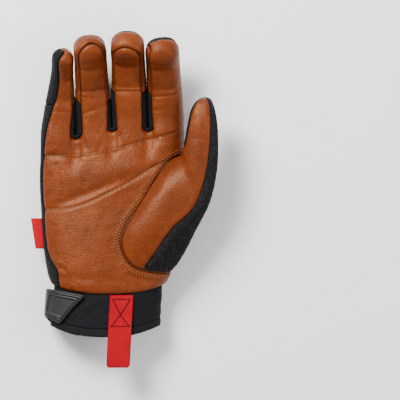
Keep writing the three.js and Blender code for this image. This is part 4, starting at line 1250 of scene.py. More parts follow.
GRAINS = {Texture.SUEDE: Grain(1.6, 5, 0.7), Texture.FOAM: Grain(1.1, 4, 0.6)}
PLAIN_GRAIN = Grain(0.9, 3, 0.5)
CLOTH_SHADE, CLOTH_SHADE_SHARE, CLOTH_RELIEF_SHADE, CLOTH_PAINTED_LIGHT = Grain(0.06, 3), 0.35, 0.6, 0.5
MID_TONE, LIGHT_TONE = 0.5, 1.05
SEAM_SHADE_REACH, SEAM_SHADE = 1.6, 0.45
GLOSS_BROAD, GLOSS_FINE, GLOSS_SPREAD = Grain(0.3, 3), Grain(0.75, 3, 0.6), 0.18
SHEEN_ROUGHNESS = 0.5


class NodeBoard:
    """A thin layer over a shader's node tree that makes and joins nodes in one call."""

    def __init__(self, material: bpy.types.Material) -> None:
        """Clears the material's tree and keeps it.

        Args:
            material: The material to fill.
        """
        material.use_nodes = True
        self.tree = material.node_tree
        self.tree.nodes.clear()

    def node(self, kind: str, inputs: Optional[dict] = None, **settings: object) -> bpy.types.Node:
        """Adds a node.

        Args:
            kind: The node's type.
            inputs: Values or sockets by input name or number.
            settings: The node's own settings.

        Returns:
            The node.
        """
        made = self.tree.nodes.new(kind)
        for key, value in settings.items():
            setattr(made, key, value)
        for key, value in (inputs or {}).items():
            if isinstance(value, Socket):
                self.tree.links.new(value, made.inputs[key])
            else:
                made.inputs[key].default_value = value
        return made

    def math(self, operation: str, *values: object) -> Socket:
        """One step of arithmetic."""
        return self.node("ShaderNodeMath", dict(enumerate(values)), operation=operation).outputs[0]

    def wave(self, axis: Socket, turn: float) -> Socket:
        """A sine wave along an axis, with turn radians a millimetre."""
        return self.math("SINE", self.math("MULTIPLY", axis, turn))

    def noise(self, vector: Socket, grain: Grain) -> Socket:
        """Noise between 0 and 1."""
        return self.node("ShaderNodeTexNoise", {
            "Vector": vector, "Scale": grain.scale, "Detail": grain.detail, "Roughness": grain.rough,
            "Distortion": grain.distortion}).outputs[0]

    def cells(self, vector: Socket, feature: str, scale: float, randomness: float = 1.0) -> Socket:
        """Distances from the middles of random cells."""
        inputs = {"Vector": vector, "Scale": scale, "Randomness": randomness}
        return self.node("ShaderNodeTexVoronoi", inputs, feature=feature).outputs[0]

    def ramp(self, value: Socket, low: float, high: float) -> Socket:
        """Stretches a range to 0 to 1."""
        return self.node("ShaderNodeMapRange", {"Value": value, "From Min": low, "From Max": high}).outputs[0]

    def blend(self, share: Socket, a: Socket | Colour, b: Socket | Colour) -> Socket:
        """Blends two colours.

        Args:
            share: How much of the second colour there is.
            a: The first colour.
            b: The second colour.

        Returns:
            The blended colour.
        """
        made = self.node("ShaderNodeMix", {0: share}, data_type="RGBA")
        for key, value in ((6, a), (7, b)):
            if isinstance(value, Socket):
                self.tree.links.new(value, made.inputs[key])
            else:
                made.inputs[key].default_value = (*value, 1.0)
        return made.outputs[2]

    def surface(self, inputs: dict[str, object]) -> None:
        """Ends the tree with one surface shader."""
        shader = self.node("ShaderNodeBsdfPrincipled", inputs)
        self.node("ShaderNodeOutputMaterial", {0: shader.outputs[0]})


class Materials:
    """Makes each finish's material once."""

    def __init__(self) -> None:
        """Starts with no materials."""
        self.made: dict[str, bpy.types.Material] = {}

    def get(self, finish: Finish) -> bpy.types.Material:
        """The material of a finish.

        Args:
            finish: The finish.

        Returns:
            Its material.
        """
        if finish.name not in self.made:
            self.made[finish.name] = self.build(finish)
        return self.made[finish.name]

    def hide(self, board: NodeBoard, place: Socket) -> Socket:
        """The relief of grained hide: pebbles, creases, pores and a few drawn lines.

        Args:
            board: The material's nodes.
            place: Places in millimetres.

        Returns:
            Heights.
        """
        pebble = board.cells(place, "F1", HIDE_PEBBLE_SCALE, HIDE_PEBBLE_SPREAD)
        creases = board.math("MULTIPLY", board.noise(place, HIDE_CREASES), HIDE_CREASE)
        total = board.math("MULTIPLY_ADD", pebble, HIDE_PEBBLE, creases)
        total = board.math("MULTIPLY_ADD", board.noise(place, HIDE_PORES), HIDE_PORE, total)
        drawn = board.node("ShaderNodeVectorMath", {0: place, 1: HIDE_LINE_STRETCH}, operation="MULTIPLY")
        away = board.math("ABSOLUTE", board.math("SUBTRACT", board.noise(drawn.outputs[0], HIDE_LINES), 0.5))
        places = board.ramp(board.noise(place, HIDE_LINE_PLACES), *HIDE_LINE_RANGE)
        line = board.math("MULTIPLY", board.ramp(away, HIDE_LINE_WIDTH, 0.0), places)
        return board.math("MULTIPLY_ADD", line, HIDE_LINE, total)

    def height(self, board: NodeBoard, finish: Finish, place: Socket, across: Socket,
               along: Socket) -> Socket:
        """The finish's relief.

        Args:
            board: The material's nodes.
            finish: The finish.
            place: Places in millimetres.
            across: The pattern's first axis in millimetres.
            along: The pattern's second axis in millimetres.

        Returns:
            Heights, mostly between 0 and 1.
        """
        texture = finish.texture
        turn = 2 * math.pi / finish.pitch
        if texture is Texture.HIDE:
            return self.hide(board, place)
        if texture is Texture.RIBBED:
            rib = board.math("MULTIPLY_ADD", board.wave(along, turn), 0.5, 0.5)
            rib = board.math("POWER", rib, RIB_SHARPNESS)
            yarn = board.math("MULTIPLY", board.wave(across, turn * YARNS_A_RIB), YARN)
            return board.math("MULTIPLY_ADD", yarn, rib, rib)
        if texture is Texture.PILE:
            tuft = board.cells(place, "SMOOTH_F1", PILE_SCALE)
            return board.math("SUBTRACT", board.noise(place, PILE_FLUFF), tuft)
        if texture is Texture.TAPE:
            weave = board.wave(across, turn)
        elif texture is Texture.KNIT:
            weave = board.math("MULTIPLY", *(board.wave(board.math(operation, across, along), KNIT_TURN)
                                             for operation in ("ADD", "SUBTRACT")))
        elif texture is Texture.WEBBING:
            weave = board.math("MULTIPLY", board.wave(across, turn), board.wave(along, turn * WEBBING_ROWS))
        else:
            return board.noise(place, GRAINS.get(texture, PLAIN_GRAIN))
        return board.math("MULTIPLY_ADD", weave, 0.5, 0.5)

    def build(self, finish: Finish) -> bpy.types.Material:
        """Builds a material's shader.

        Args:
            finish: The finish.

        Returns:
            The new material.
        """
        material = bpy.data.materials.new(finish.name)
        board = NodeBoard(material)
        coords = board.node("ShaderNodeTexCoord").outputs["Object"]
        place = board.node("ShaderNodeVectorMath", {0: coords, "Scale": 1 / MM}, operation="SCALE").outputs[0]
        pattern = board.node("ShaderNodeUVMap", uv_map="pattern").outputs[0]
        axes = board.node("ShaderNodeSeparateXYZ", {0: pattern})
        across, along = (board.math("MULTIPLY", axes.outputs[k], 1 / MM) for k in range(2))
        edge, worn = (board.node("ShaderNodeAttribute", attribute_name=name).outputs["Fac"]
                      for name in ("edge", "worn"))
        height = self.height(board, finish, place, across, along)
        if finish.texture is Texture.HIDE:
            broad = board.ramp(board.noise(place, HIDE_BROAD), *HIDE_BROAD_RANGE)
            mottle = board.ramp(board.noise(place, HIDE_MOTTLE), *HIDE_MOTTLE_RANGE)
            mottle = board.math("MULTIPLY", mottle, HIDE_MOTTLE_SHARE)
            tone = board.math("MULTIPLY_ADD", broad, HIDE_BROAD_SHARE, mottle)
            # Adds the painted light and shade stored on the mesh: raised places lighter, folds and creases
            # darker.
            tone = board.math("ADD", board.math("ADD", tone, HIDE_TONE), worn)
        else:
            # Tone follows the relief: weave crests and tufts lighter, hollows darker, which is painted shade;
            # on plain noise finishes it is only random tone.
            relief = board.math("MULTIPLY", height, CLOTH_RELIEF_SHADE)
            tone = board.math("MULTIPLY_ADD", board.noise(place, CLOTH_SHADE), CLOTH_SHADE_SHARE, relief)
            # Adds the painted light and shade stored on the mesh, at a lower strength on cloth.
            tone = board.math("ADD", tone, board.math("MULTIPLY", worn, CLOTH_PAINTED_LIGHT))
        low = board.blend(board.ramp(tone, 0.0, MID_TONE), finish.dark, finish.mid)
        colour = board.blend(board.ramp(tone, MID_TONE, LIGHT_TONE), low, finish.light)
        shade = board.math("MULTIPLY", board.ramp(edge, SEAM_SHADE_REACH, 0.0), SEAM_SHADE)
        uneven = board.math("ADD", board.noise(place, GLOSS_BROAD), board.noise(place, GLOSS_FINE))
        relief = board.node("ShaderNodeBump", {"Height": height, "Distance": finish.relief * MM})
        board.surface({
            "Base Color": board.blend(shade, colour, finish.dark),
            "Roughness": board.math("MULTIPLY_ADD", uneven, GLOSS_SPREAD, finish.roughness - GLOSS_SPREAD),
            "Normal": relief.outputs[0],
            "Specular IOR Level": finish.specular,
            "Specular Tint": (*finish.gleam, 1.0),
            "Sheen Weight": finish.sheen,
            "Sheen Roughness": SHEEN_ROUGHNESS,
        })
        return material


@dataclass(frozen=True)
class Edging:
    """How a panel's edge rolls into its seam."""

    roll: float
    drop: float
    puff: float
    pucker: float
    puff_away, puff_width = 3.2, 2.2
    pucker_length, pucker_reach, pucker_seed = 3.6, 3.0, 43
    still = 2.5

    def soft(self, places: Array, edge: Array, swelling: Array) -> Array:
        """Adds the edge's puff and puckers to a panel's swelling, and stills it all at the seam.

        Args:
            places: The panel's points.
            edge: Their distances from its edge.
            swelling: Its other lifts.

        Returns:
            Lifts in millimetres.
        """
        puffed = swelling + self.puff * bump(edge - self.puff_away, self.puff_width)
        puckers = self.pucker * waves(places, self.pucker_length, self.pucker_seed)
        return (puffed + puckers * np.exp(-edge / self.pucker_reach)) * ease(edge / self.still)


@dataclass(frozen=True)
class Swell:
    """Soft random waves in a surface, stretched along the fingers where stretch is below 1."""

    length: float
    height: float
    seed: int
    stretch: float = 1.0

    def read(self, places: Array) -> Array:
        """The waves' height at some places."""
        return self.height * waves(places * [1, self.stretch, 1], self.length, self.seed)


HIDE_EDGE = Edging(1.7, 1.1, 0.35, 0.3)
CLOTH_EDGE = Edging(1.3, 0.85, 0.2, 0.16)
PATCH_EDGE = Edging(1.0, 0.5, 0.25, 0.05)
TERRY_EDGE = Edging(1.4, 0.7, 0.6, 0.1)


class Workshop:
    """Writes meshes in the frame, with their material and CAD nodes."""

    def __init__(self) -> None:
        """Finds the shift from the pattern to the frame by the side tag's lowest corner."""
        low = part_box("side_tag")[0]
        self.shift = np.array([low[0] / MM - TAG_LOW[0], low[1] / MM - TAG_LOW[1], -FLOOR])
        self.materials = Materials()
        self.count = 0

    def write(self, name: str, places: Array, faces: Array, finish: Finish, slot: Slot,
              pattern: Optional[Array] = None, edge: Array | float = FAR, worn: Array | float = 0.0,
              replaces: Sequence[str] = ()) -> None:
        """Writes a mesh object that rides on the body.

        Args:
            name: The object's name.
            places: Points in pattern millimetres.
            faces: Corner numbers.
            finish: Its finish.
            slot: Its material slot; not used.
            pattern: Places in the flat pattern, for the cloth's weave.
            edge: Distances from the piece's own edge.
            worn: Painted light and shade, how much lighter or darker each point is painted.
            replaces: CAD nodes that it stands for.
        """
        mesh = bpy.data.meshes.new(name)
        mesh.vertices.add(len(places))
        mesh.vertices.foreach_set("co", ((places + self.shift) * MM).astype(np.float32).ravel())
        sides = faces.shape[1]
        mesh.loops.add(faces.size)
        mesh.loops.foreach_set("vertex_index", faces.astype(np.int32).ravel())
        mesh.polygons.add(len(faces))
        mesh.polygons.foreach_set("loop_start", np.arange(0, faces.size, sides, dtype=np.int32))
        mesh.update(calc_edges=True)
        mesh.polygons.foreach_set("use_smooth", np.ones(len(faces), dtype=bool))
        flat = places[:, :2] if pattern is None else pattern[:, :2]
        layer = mesh.uv_layers.new(name="pattern")
        layer.data.foreach_set("uv", (flat * MM).astype(np.float32)[faces.ravel()].ravel())
        for label, values in (("edge", edge), ("worn", worn)):
            stored = mesh.attributes.new(label, "FLOAT", "POINT")
            stored.data.foreach_set("value", np.broadcast_to(values, len(places)).astype(np.float32))
        mesh.materials.append(self.materials.get(finish))
        obj = bpy.data.objects.new(f"{name}_dressed" if replaces else name, mesh)
        bpy.context.scene.collection.objects.link(obj)
        if replaces:
            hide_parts(*replaces)
        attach(obj, BODY)
        self.count += 1
        LOG.info("%s: %d faces", name, len(faces))

    def shell(self, name: str, outer: Array, inner: Array, finish: Finish, slot: Slot, closed: bool = False,
              **layers: Array) -> None:
        """Writes a closed wall between two grids of points, in place of the CAD node of its name.

        Args:
            name: The object's name.
            outer: Rows of points on the outside.
            inner: Rows of points on the inside.
            finish: Its finish.
            slot: Its material slot.
            closed: Whether each row runs all the way round.
            layers: Its pattern, edge or painted light and shade values, as write takes them.
        """
        places = np.concatenate([outer.reshape(-1, 3), inner.reshape(-1, 3)])
        faces = facing_out(places, shell_faces(*outer.shape[:2], closed))
        self.write(name, places, faces, finish, slot, replaces=[name], **layers)


@dataclass
class Panel:
    """A sewn panel: its part of the skin, its finish and its edges."""

    name: str
    skin: Skin
    finish: Finish
    slot: Slot
    edging: Edging
    wrinkle: float
    lift: Array | float = 0.0
    swells = (Swell(38, 0.5, 40), Swell(15, 0.32, 42, 0.45), Swell(7, 0.12, 41))
    inner_lift = 0.4
    # How strongly the lift is painted as light and shade, and the darkest and lightest values of that painted
    # light.
    wear, darkest, lightest = 0.12, -0.25, 0.2

    def build(self, shop: Workshop) -> None:
        """Writes the panel as a closed wall, and keeps its outer surface as its skin.

        Args:
            shop: Where meshes are written.
        """
        skin = self.skin
        wall = WALL if self.finish.texture is Texture.HIDE else CLOTH_WALL
        edge = skin.rim_distance()
        swelling = self.wrinkle * sum(swell.read(skin.place) for swell in self.swells) + self.lift
        soft = self.edging.soft(skin.place, edge, swelling)
        roll = -self.edging.drop * edge_drop(edge, self.edging.roll)
        outer = above_floor(skin.place + skin.normal * (soft + roll)[:, None])
        inner = skin.place + skin.normal * (np.minimum(soft, self.inner_lift) - wall)[:, None]
        count = len(outer)
        rim = skin.rim_edges()
        band = [np.stack([rim[:, 1], rim[:, 0], rim[:, 0] + count], 1),
                np.stack([rim[:, 1], rim[:, 0] + count, rim[:, 1] + count], 1)]
        faces = np.concatenate([skin.triangles, skin.triangles[:, ::-1] + count, *band])
        # Painted light and shade: lifted places are painted lighter, pressed folds, creases and puckers
        # darker.
        worn = np.clip(soft * self.wear, self.darkest, self.lightest)
        skin.place = outer
        skin.normal = skin.normals(outer)
        shop.write(self.name, np.concatenate([outer, inner]), faces, self.finish, self.slot,
                   pattern=np.tile(skin.flat, (2, 1)), edge=np.tile(edge, 2), worn=np.tile(worn, 2),
                   replaces=[self.name])


@dataclass(frozen=True)
class Tufts:
    """A short pile standing on a panel: small leaning spikes, placed at random but always alike."""

    count: int = 11000
    height: float = 0.95
    radius: float = 0.3
    lean: float = 0.45
    seed: int = 5
    rings = ((-0.25, 1.0), (0.62, 0.85))
    shortest, longest = 0.6, 1.1

    def build(self, shop: Workshop, name: str, panel: Panel) -> None:
        """Writes the pile.

        Args:
            shop: Where meshes are written.
            name: The object's name.
            panel: The panel that it stands on, once that is built.
        """
        skin = panel.skin
        rng = np.random.default_rng(self.seed)
        a, b, c = corners(skin.place, skin.triangles)
        areas = np.linalg.norm(np.cross(b - a, c - a), axis=1)
        chosen = rng.choice(len(areas), self.count, p=areas / areas.sum())
        u, v = rng.random((2, self.count, 1))
        over = u + v > 1
        u, v = np.where(over, 1 - u, u), np.where(over, 1 - v, v)
        foot = a[chosen] + u * (b - a)[chosen] + v * (c - a)[chosen]
        normal = skin.normal[skin.triangles[chosen, 0]]
        upward = unit(normal + self.lean * rng.normal(size=normal.shape))
        side = unit(np.cross(normal, rng.normal(size=normal.shape)))
        other = np.cross(normal, side)
        height = self.height * rng.uniform(self.shortest, self.longest, (self.count, 1))
        spots = []
        for rise, width in self.rings:
            for k in range(3):
                turn = 2 * math.pi * k / 3
                spread = (side * math.cos(turn) + other * math.sin(turn)) * self.radius * width
                spots.append(foot + upward * height * rise + spread)
        spots.append(foot + upward * height)
        turned = [(k, (k + 1) % 3) for k in range(3)]
        cell = [(k, j, 3 + k) for k, j in turned] + [(j, 3 + j, 3 + k) for k, j in turned]
        cell += [(3 + k, 3 + j, 6) for k, j in turned]
        places = above_floor(np.stack(spots, 1).reshape(-1, 3))
        shop.write(name, places, stamped(cell, self.count, len(spots)), panel.finish, panel.slot)


@dataclass(frozen=True)
class Thread:
    """A sewing thread and its stitch length."""

    finish: Finish
    slot: Slot
    pitch: float = 3.1
    length: float = 2.3
    radius: float = 0.3
    sink: float = 0.05
    hole_shade: bool = False


class Stitcher:
    """Lays small capsules along seam lines, joined into one mesh a thread."""

    sides = 6
    rings = ((-1.0, 0.0, -0.9), (-0.93, 0.6, -0.5), (-0.6, 1.0, 0.0), (0.0, 1.05, 0.22), (0.6, 1.0, 0.0),
             (0.93, 0.6, -0.5), (1.0, 0.0, -0.9))
    flatness, rise = 0.85, 0.12
    hole = (1.1, 0.43, 0.33)

    def __init__(self, name: str, thread: Thread) -> None:
        """Starts an empty row of stitches.

        Args:
            name: The object's name.
            thread: The thread.
        """
        self.name = name
        self.thread = thread
        self.laid: list[tuple[Array, Array, Array]] = []
        # Where the thread asks for it, dark marks are laid at each stitch's ends too: painted shade in the
        # needle holes.
        hole = Thread(NEEDLE_HOLE_SHADE, thread.slot, thread.pitch, *self.hole)
        self.punched = Stitcher(f"{name}_holes", hole) if thread.hole_shade else None

    def along(self, line: Array) -> None:
        """Adds stitches along a polyline of places and normals.

        Args:
            line: Rows of place and normal.
        """
        stops = even_steps(line, self.thread.pitch)
        if len(stops) < 3:
            return
        index = np.arange(len(line))
        spots = np.stack([np.interp(stops, index, line[:, k]) for k in range(6)], 1)
        middle = (spots[1:] + spots[:-1]) / 2
        if self.punched is not None:
            heading = unit(np.gradient(spots[:, :3], axis=0))
            self.punched.laid.append((spots[:, :3], heading, unit(spots[:, 3:6])))
        self.laid.append((middle[:, :3], unit(np.diff(spots[:, :3], axis=0)), unit(middle[:, 3:6])))

    def build(self, shop: Workshop) -> None:
        """Writes the stitches, if there are any.

        Args:
            shop: Where meshes are written.
        """
        if not self.laid:
            return
        if self.punched is not None:
            self.punched.build(shop)
        centres, heading, normal = (np.concatenate(parts) for parts in zip(*self.laid))
        side = unit(np.cross(heading, normal))
        up = np.cross(side, heading)
        thread = self.thread
        places = []
        for at, width, drop in self.rings:
            for k in range(self.sides):
                angle = 2 * math.pi * k / self.sides
                across = thread.radius * width * math.cos(angle)
                height = thread.radius * (width * math.sin(angle) * self.flatness + drop)
                height += self.rise - thread.sink
                places.append(centres + heading * (at * thread.length / 2) + side * across + up * height)
        cell = []
        for r in range(len(self.rings) - 1):
            for k in range(self.sides):
                low, turned = r * self.sides + k, r * self.sides + (k + 1) % self.sides
                cell.append((low, turned, turned + self.sides, low + self.sides))
        spots = above_floor(np.stack(places, 1).reshape(-1, 3))
        faces = stamped(cell, len(centres), len(places))
        shop.write(self.name, spots, faces, thread.finish, thread.slot)


TAN = Thread(TAN_THREAD, Slot.LEATHER, pitch=2.4, length=1.55, radius=0.27, hole_shade=True)
BLACK = Thread(BLACK_THREAD, Slot.BLACK_FABRIC, pitch=2.8, length=2.1, radius=0.26)
DARK_RED = Thread(RED_THREAD, Slot.RED_FABRIC, pitch=2.2, length=1.7, radius=0.3)
DOUBLE_ROW = (2.0, 4.2)
SINGLE_ROW, PATCH_ROW = 1.8, -1.2


def sew_line(stitcher: Stitcher, skin: Skin, values: Array, level: float,
             keep: Optional[LineTest] = None) -> None:
    """Sews along the line where values pass a level on a skin.

    Args:
        stitcher: The thread's stitches.
        skin: The sewn panel's surface.
        values: One value a point.
        level: The level to follow.
        keep: A test of the line's rows, whose columns 6 to 8 are the flat place.
    """
    for line in skin.contour(values, level):
        good = np.ones(len(line), dtype=bool) if keep is None else keep(line)
        breaks = np.flatnonzero(np.diff(good.astype(int))) + 1
        for run, sewn in zip(np.split(line, breaks), np.split(good, breaks)):
            if len(run) > 3 and sewn[0]:
                stitcher.along(run)


@dataclass
class Assembly:
    """A sub-assembly of the glove, which writes its pieces in the workshop."""

    shop: Workshop


@dataclass
class GloveHand(Assembly):
    """The hand's panels, from the palm leather to the fingertips' caps."""

    lowest_stitch: float = 4.0
    fields: SeamFields = SeamFields()
    panels: dict[str, Panel] = field(default_factory=dict)

    def __post_init__(self) -> None:
        """Makes and shapes the hand's skin."""
        hand = Hand()
        self.skin = hand.shape(hand.build())

    def add(self, name: str, skin: Skin, finish: Finish, slot: Slot, edging: Edging, wrinkle: float) -> None:
        """Keeps a panel's largest piece."""
        self.panels[name] = Panel(name, skin.largest(), finish, slot, edging, wrinkle)

    def cut(self) -> None:
        """Cuts the skin into its panels along the seams."""
        fields = self.fields
        caps, uncapped = self.skin.split(fields.cap(self.skin))
        strips, bands = uncapped.split(fields.band(uncapped))
        wraps, gussets = bands.split(fields.wrap(bands))
        for owner, finger in enumerate(FINGERS):
            cap, wrap = caps.only(caps.finger == owner), wraps.only(wraps.finger == owner)
            self.add(f"tip_cap_{finger.name}", cap, OLIVE_SUEDE, Slot.OLIVE_PATCH, CLOTH_EDGE, 0.1)
            self.add(f"tip_wrap_{finger.name}", wrap, LEATHER, Slot.LEATHER, HIDE_EDGE, 0.25)
        for slot_x, _, name in fields.slots:
            near = np.abs(gussets.x - slot_x) < FINGER_PITCH / 2
            self.add(f"gusset_{name}", gussets.only(near), SMOOTH_BLACK, Slot.BLACK_FABRIC, CLOTH_EDGE, 0.15)
        palm_side, back_side = strips.split(fields.side(strips))
        palm = palm_side.split(fields.thumb_hole(palm_side))[1]
        self.add("palm_leather", palm, LEATHER, Slot.LEATHER, HIDE_EDGE, 0.4)
        back = back_side.split(fields.thumb_hole(back_side))[1]
        outer_backs, inner = back.split(fields.outer_back(back))
        for owner, finger in enumerate(FINGERS):
            if finger.back_seam:
                smooth = outer_backs.only(outer_backs.finger == owner)
                name = f"finger_back_{finger.name}"
                self.add(name, smooth, SMOOTH_BLACK, Slot.BLACK_FABRIC, CLOTH_EDGE, 0.2)
        patch, around = inner.split(fields.patch(inner))
        self.add("index_patch", patch, OLIVE_SUEDE, Slot.OLIVE_PATCH, PATCH_EDGE, 0.05)
        cloth, lower = around.split(fields.cloth(around))
        wrist, red = lower.split(fields.wrist(lower))
        self.add("back_fabric", cloth, RIBBED_BLACK, Slot.BLACK_FABRIC, CLOTH_EDGE, 0.3)
        self.add("red_panel", red, RIBBED_RED, Slot.RED_FABRIC, CLOTH_EDGE, 0.3)
        self.add("wrist_leather", wrist, LEATHER, Slot.LEATHER, HIDE_EDGE, 0.4)

    def fold(self) -> None:
        """Adds the folds of single panels: the palm's stitched lines and the fingers' creases."""
        palm = self.panels["palm_leather"]
        skin = palm.skin
        lift = np.zeros(len(skin.flat))
        groove = SewnGroove()
        for points in PALM_CREASES:
            away = SeamCurve(points).distance(skin.x, skin.y)
            lift += np.where((skin.finger < 0) & (skin.z > 0), groove.lift(away), 0)
        for wrinkle in PALM_WRINKLES:
            lift += np.where(skin.z > 0, wrinkle.lift(skin), 0)
        for crease in FINGER_FOLDS:
            lift += crease.lift(skin)
        palm.lift = lift
        for name, panel in self.panels.items():
            if name.startswith("gusset"):
                panel.lift = GUSSET_PUFF * bump(panel.skin.z, GUSSET_PUFF_WIDTH)

    def build(self) -> None:
        """Cuts, folds and writes the panels, and sews them."""
        self.cut()
        self.fold()
        for panel in self.panels.values():
            panel.build(self.shop)
        self.sew()

    def sew(self) -> None:
        """Sews the hand's visible rows."""
        fields = self.fields
        tan = Stitcher("stitches_palm", TAN)
        palm = self.panels["palm_leather"].skin
        for points in PALM_CREASES:
            away = SeamCurve(points).distance(palm.x, palm.y)
            values = np.where((palm.finger < 0) & (palm.z > 0), away, FAR)
            sew_line(tan, palm, values, 0.0, lambda line: line[:, 8] > 0)
        for level in DOUBLE_ROW:
            values = fields.thumb_hole(palm)
            sew_line(tan, palm, values, level, lambda line: line[:, 8] > self.lowest_stitch)
        tan.build(self.shop)
        black = Stitcher("stitches_back", BLACK)
        red, cloth, patch = (self.panels[name].skin for name in ("red_panel", "back_fabric", "index_patch"))
        sew_line(black, red, fields.wrist(red), SINGLE_ROW)
        sew_line(black, cloth, fields.outer_back(cloth), SINGLE_ROW)
        sew_line(black, cloth, fields.cloth(cloth), -SINGLE_ROW)
        black.build(self.shop)
        dark_red = Stitcher("stitches_index_patch", DARK_RED)
        sew_line(dark_red, patch, fields.patch(patch), PATCH_ROW)
        dark_red.build(self.shop)


@dataclass
class GloveThumb(Assembly):
    """The thumb: a lofted skin whose first ring lies on the palm, cut into pile, gusset and leather."""

    hand: Skin
    sides: int = 96
    rows: int = 110
    last_row: float = 0.994
    seam_steps: int = 1800
    ray_start: float = 3.0
    widest: float = 0.985
    root_radius: float = 20.0
    tip_radius: float = 10.0
    pile_slope: float = 90.0
    gusset_slope: float = 300.0
    sewn_behind: float = 0.1
    welt_sink: float = 1.3
    welt_radius: float = 1.15
    welt_sides: int = 8
    welt_shade: float = -0.5
    panels: dict[str, Panel] = field(default_factory=dict)

    def __post_init__(self) -> None:
        """Lofts the thumb from the hand's skin."""
        self.tree = BVHTree.FromPolygons(self.hand.place.tolist(), self.hand.triangles.tolist())
        self.foot = self.base()
        self.skin = self.loft()

    def hit(self, x: float, y: float, z: float) -> tuple[Array, Array]:
        """The palm skin's point nearest to a place on its section.

        Args:
            x: The place's x.
            y: Its height.
            z: Its depth.

        Returns:
            The point on the skin, and its normal.
        """
        middle = np.array([float(tube_section(PALM, y)[0]), y, 0.0])
        origin = (np.array([x, y, z]) - middle) * self.ray_start + middle
        heading = unit(middle - origin)
        spot, normal, _, _ = self.tree.ray_cast(Vector(origin), Vector(heading))
        normal = np.array(normal)
        return np.array(spot), normal * (-1 if normal @ heading > 0 else 1)

    def base(self) -> list[tuple[Array, Array]]:
        """The ring on the palm skin, just inside the thumb's seam.

        Returns:
            Places and normals.
        """
        line = catmull(THUMB_SEAM[1:-1], self.seam_steps)
        travel = np.concatenate([[0], np.cumsum(np.linalg.norm(np.diff(line, axis=0), axis=1))])
        hole = ThumbHole()
        found = []
        for i in range(self.sides):
            angle = 360 * i / self.sides
            if angle <= 180:
                at = np.interp(angle / 180 * travel[-1], travel, np.arange(len(line)))
                k = min(int(at), len(line) - 2)
                spot = mix(line[k], line[k + 1], at - k)
                tangent = unit(line[min(k + 4, len(line) - 1)] - line[max(k - 4, 0)])
                x, y = spot[0] - tangent[1] * THUMB_INSET, spot[1] + tangent[0] * THUMB_INSET
                middle, half_width, front, _ = tube_section(PALM, y)
                across = min(self.widest, abs((x - middle) / half_width))
                found.append(self.hit(x, y, float(front * (1 - across**ROUNDNESS) ** (1 / ROUNDNESS))))
            else:
                share = (1 + math.cos(math.radians(angle))) / 2
                y = mix(hole.low_y + THUMB_INSET, hole.high_y - THUMB_INSET, share)
                z = hole.top_z + (hole.top_z - hole.bottom_z - THUMB_INSET) * math.sin(math.radians(angle))
                middle, half_width, _, back = tube_section(PALM, y)
                x = middle + half_width * (1 - abs(z / back) ** ROUNDNESS) ** (1 / ROUNDNESS)
                found.append(self.hit(float(x), y, z))
        return found

    @staticmethod
    def spline(points: Array, shares: Array) -> Array:
        """A centripetal spline through points, sampled at equal shares of its spans.

        Args:
            points: The points.
            shares: How far along it is sampled, from 0 to 1.

        Returns:
            The samples.
        """
        span = len(points) - 1
        out = []
        for share in shares:
            at = share * span
            k = min(int(at), span - 1)
            w = at - k
            p1, p2 = points[k], points[k + 1]
            p0 = points[k - 1] if k > 0 else 2 * points[0] - points[1]
            p3 = points[k + 2] if k + 2 <= span else 2 * points[span] - points[span - 1]
            d0, d1, d2 = (max(np.sum((b - a) ** 2) ** 0.25, 1e-4) for a, b in ((p0, p1), (p1, p2), (p2, p3)))
            t1 = ((p1 - p0) / d0 - (p2 - p0) / (d0 + d1) + (p2 - p1) / d1) * d1
            t2 = ((p2 - p1) / d1 - (p3 - p1) / (d1 + d2) + (p3 - p2) / d2) * d1
            out.append(hermite(p1, p2, t1, t2, w))
        return np.array(out)

    def loft(self) -> Skin:
        """Joins the base ring and the thumb's sections with smooth lines.

        Returns:
            The thumb's skin.
        """
        angles = np.arange(self.sides) * 360 / self.sides
        rings = []
        for _, inner_x, inner_y, outer_x, outer_y, z, front, back in THUMB.rows:
            across, up = section_point(angles, 0.5, front, back)
            x, y = mix(outer_x, inner_x, 0.5 + across), mix(outer_y, inner_y, 0.5 + across)
            rings.append(np.stack([x, y, z + up], 1))
        foot, normals = (np.array(values) for values in zip(*self.foot))
        palmward = MOUND_SIDE + (1 - MOUND_SIDE) * np.maximum(0, np.sin(np.radians(angles)))
        reach = np.clip(np.linalg.norm(rings[0] - foot, axis=1) / MOUND_REACH, 0, 1)
        mounds = [mix(foot, rings[0], share) + normals * (rise * palmward * reach)[:, None]
                  for share, rise in MOUND]
        stack = np.stack([foot, *mounds, *rings])
        shares = np.append(np.arange(self.rows) / self.rows, self.last_row)
        columns = [self.spline(np.concatenate([stack[:, i], [THUMB_TIP]]), shares) for i in range(self.sides)]
        places = np.stack(columns, 1)
        count = len(shares)
        turn = np.radians(angles)
        around = spread(np.cos(turn), np.sin(turn), shares[:, None]).reshape(-1, 3)
        number = np.arange(count * self.sides).reshape(count, self.sides)
        after = np.roll(number, -1, axis=1)
        faces = [np.stack([after[:-1], after[1:], number[1:]], -1).reshape(-1, 3),
                 np.stack([after[:-1], number[1:], number[:-1]], -1).reshape(-1, 3)]
        tip = count * self.sides
        faces.append(np.stack([after[-1], np.full(self.sides, tip), number[-1]], -1))
        flat = np.concatenate([places.reshape(-1, 3), [THUMB_TIP]])
        around = np.concatenate([around, [[0, 0, 1]]])
        return Skin(flat, np.full(len(flat), NO_FINGER), np.concatenate(faces), around).finish()

    def turns(self, skin: Skin) -> tuple[Array, Array, Array]:
        """Where each point lies on the thumb.

        Args:
            skin: The thumb's skin, or a part of it.

        Returns:
            Its angle round the thumb, its share of the length, and millimetres a degree.
        """
        angle = np.degrees(np.arctan2(skin.around[:, 1], skin.around[:, 0])) % 360
        share = skin.around[:, 2]
        return angle, share, np.radians(mix(self.root_radius, self.tip_radius, share))

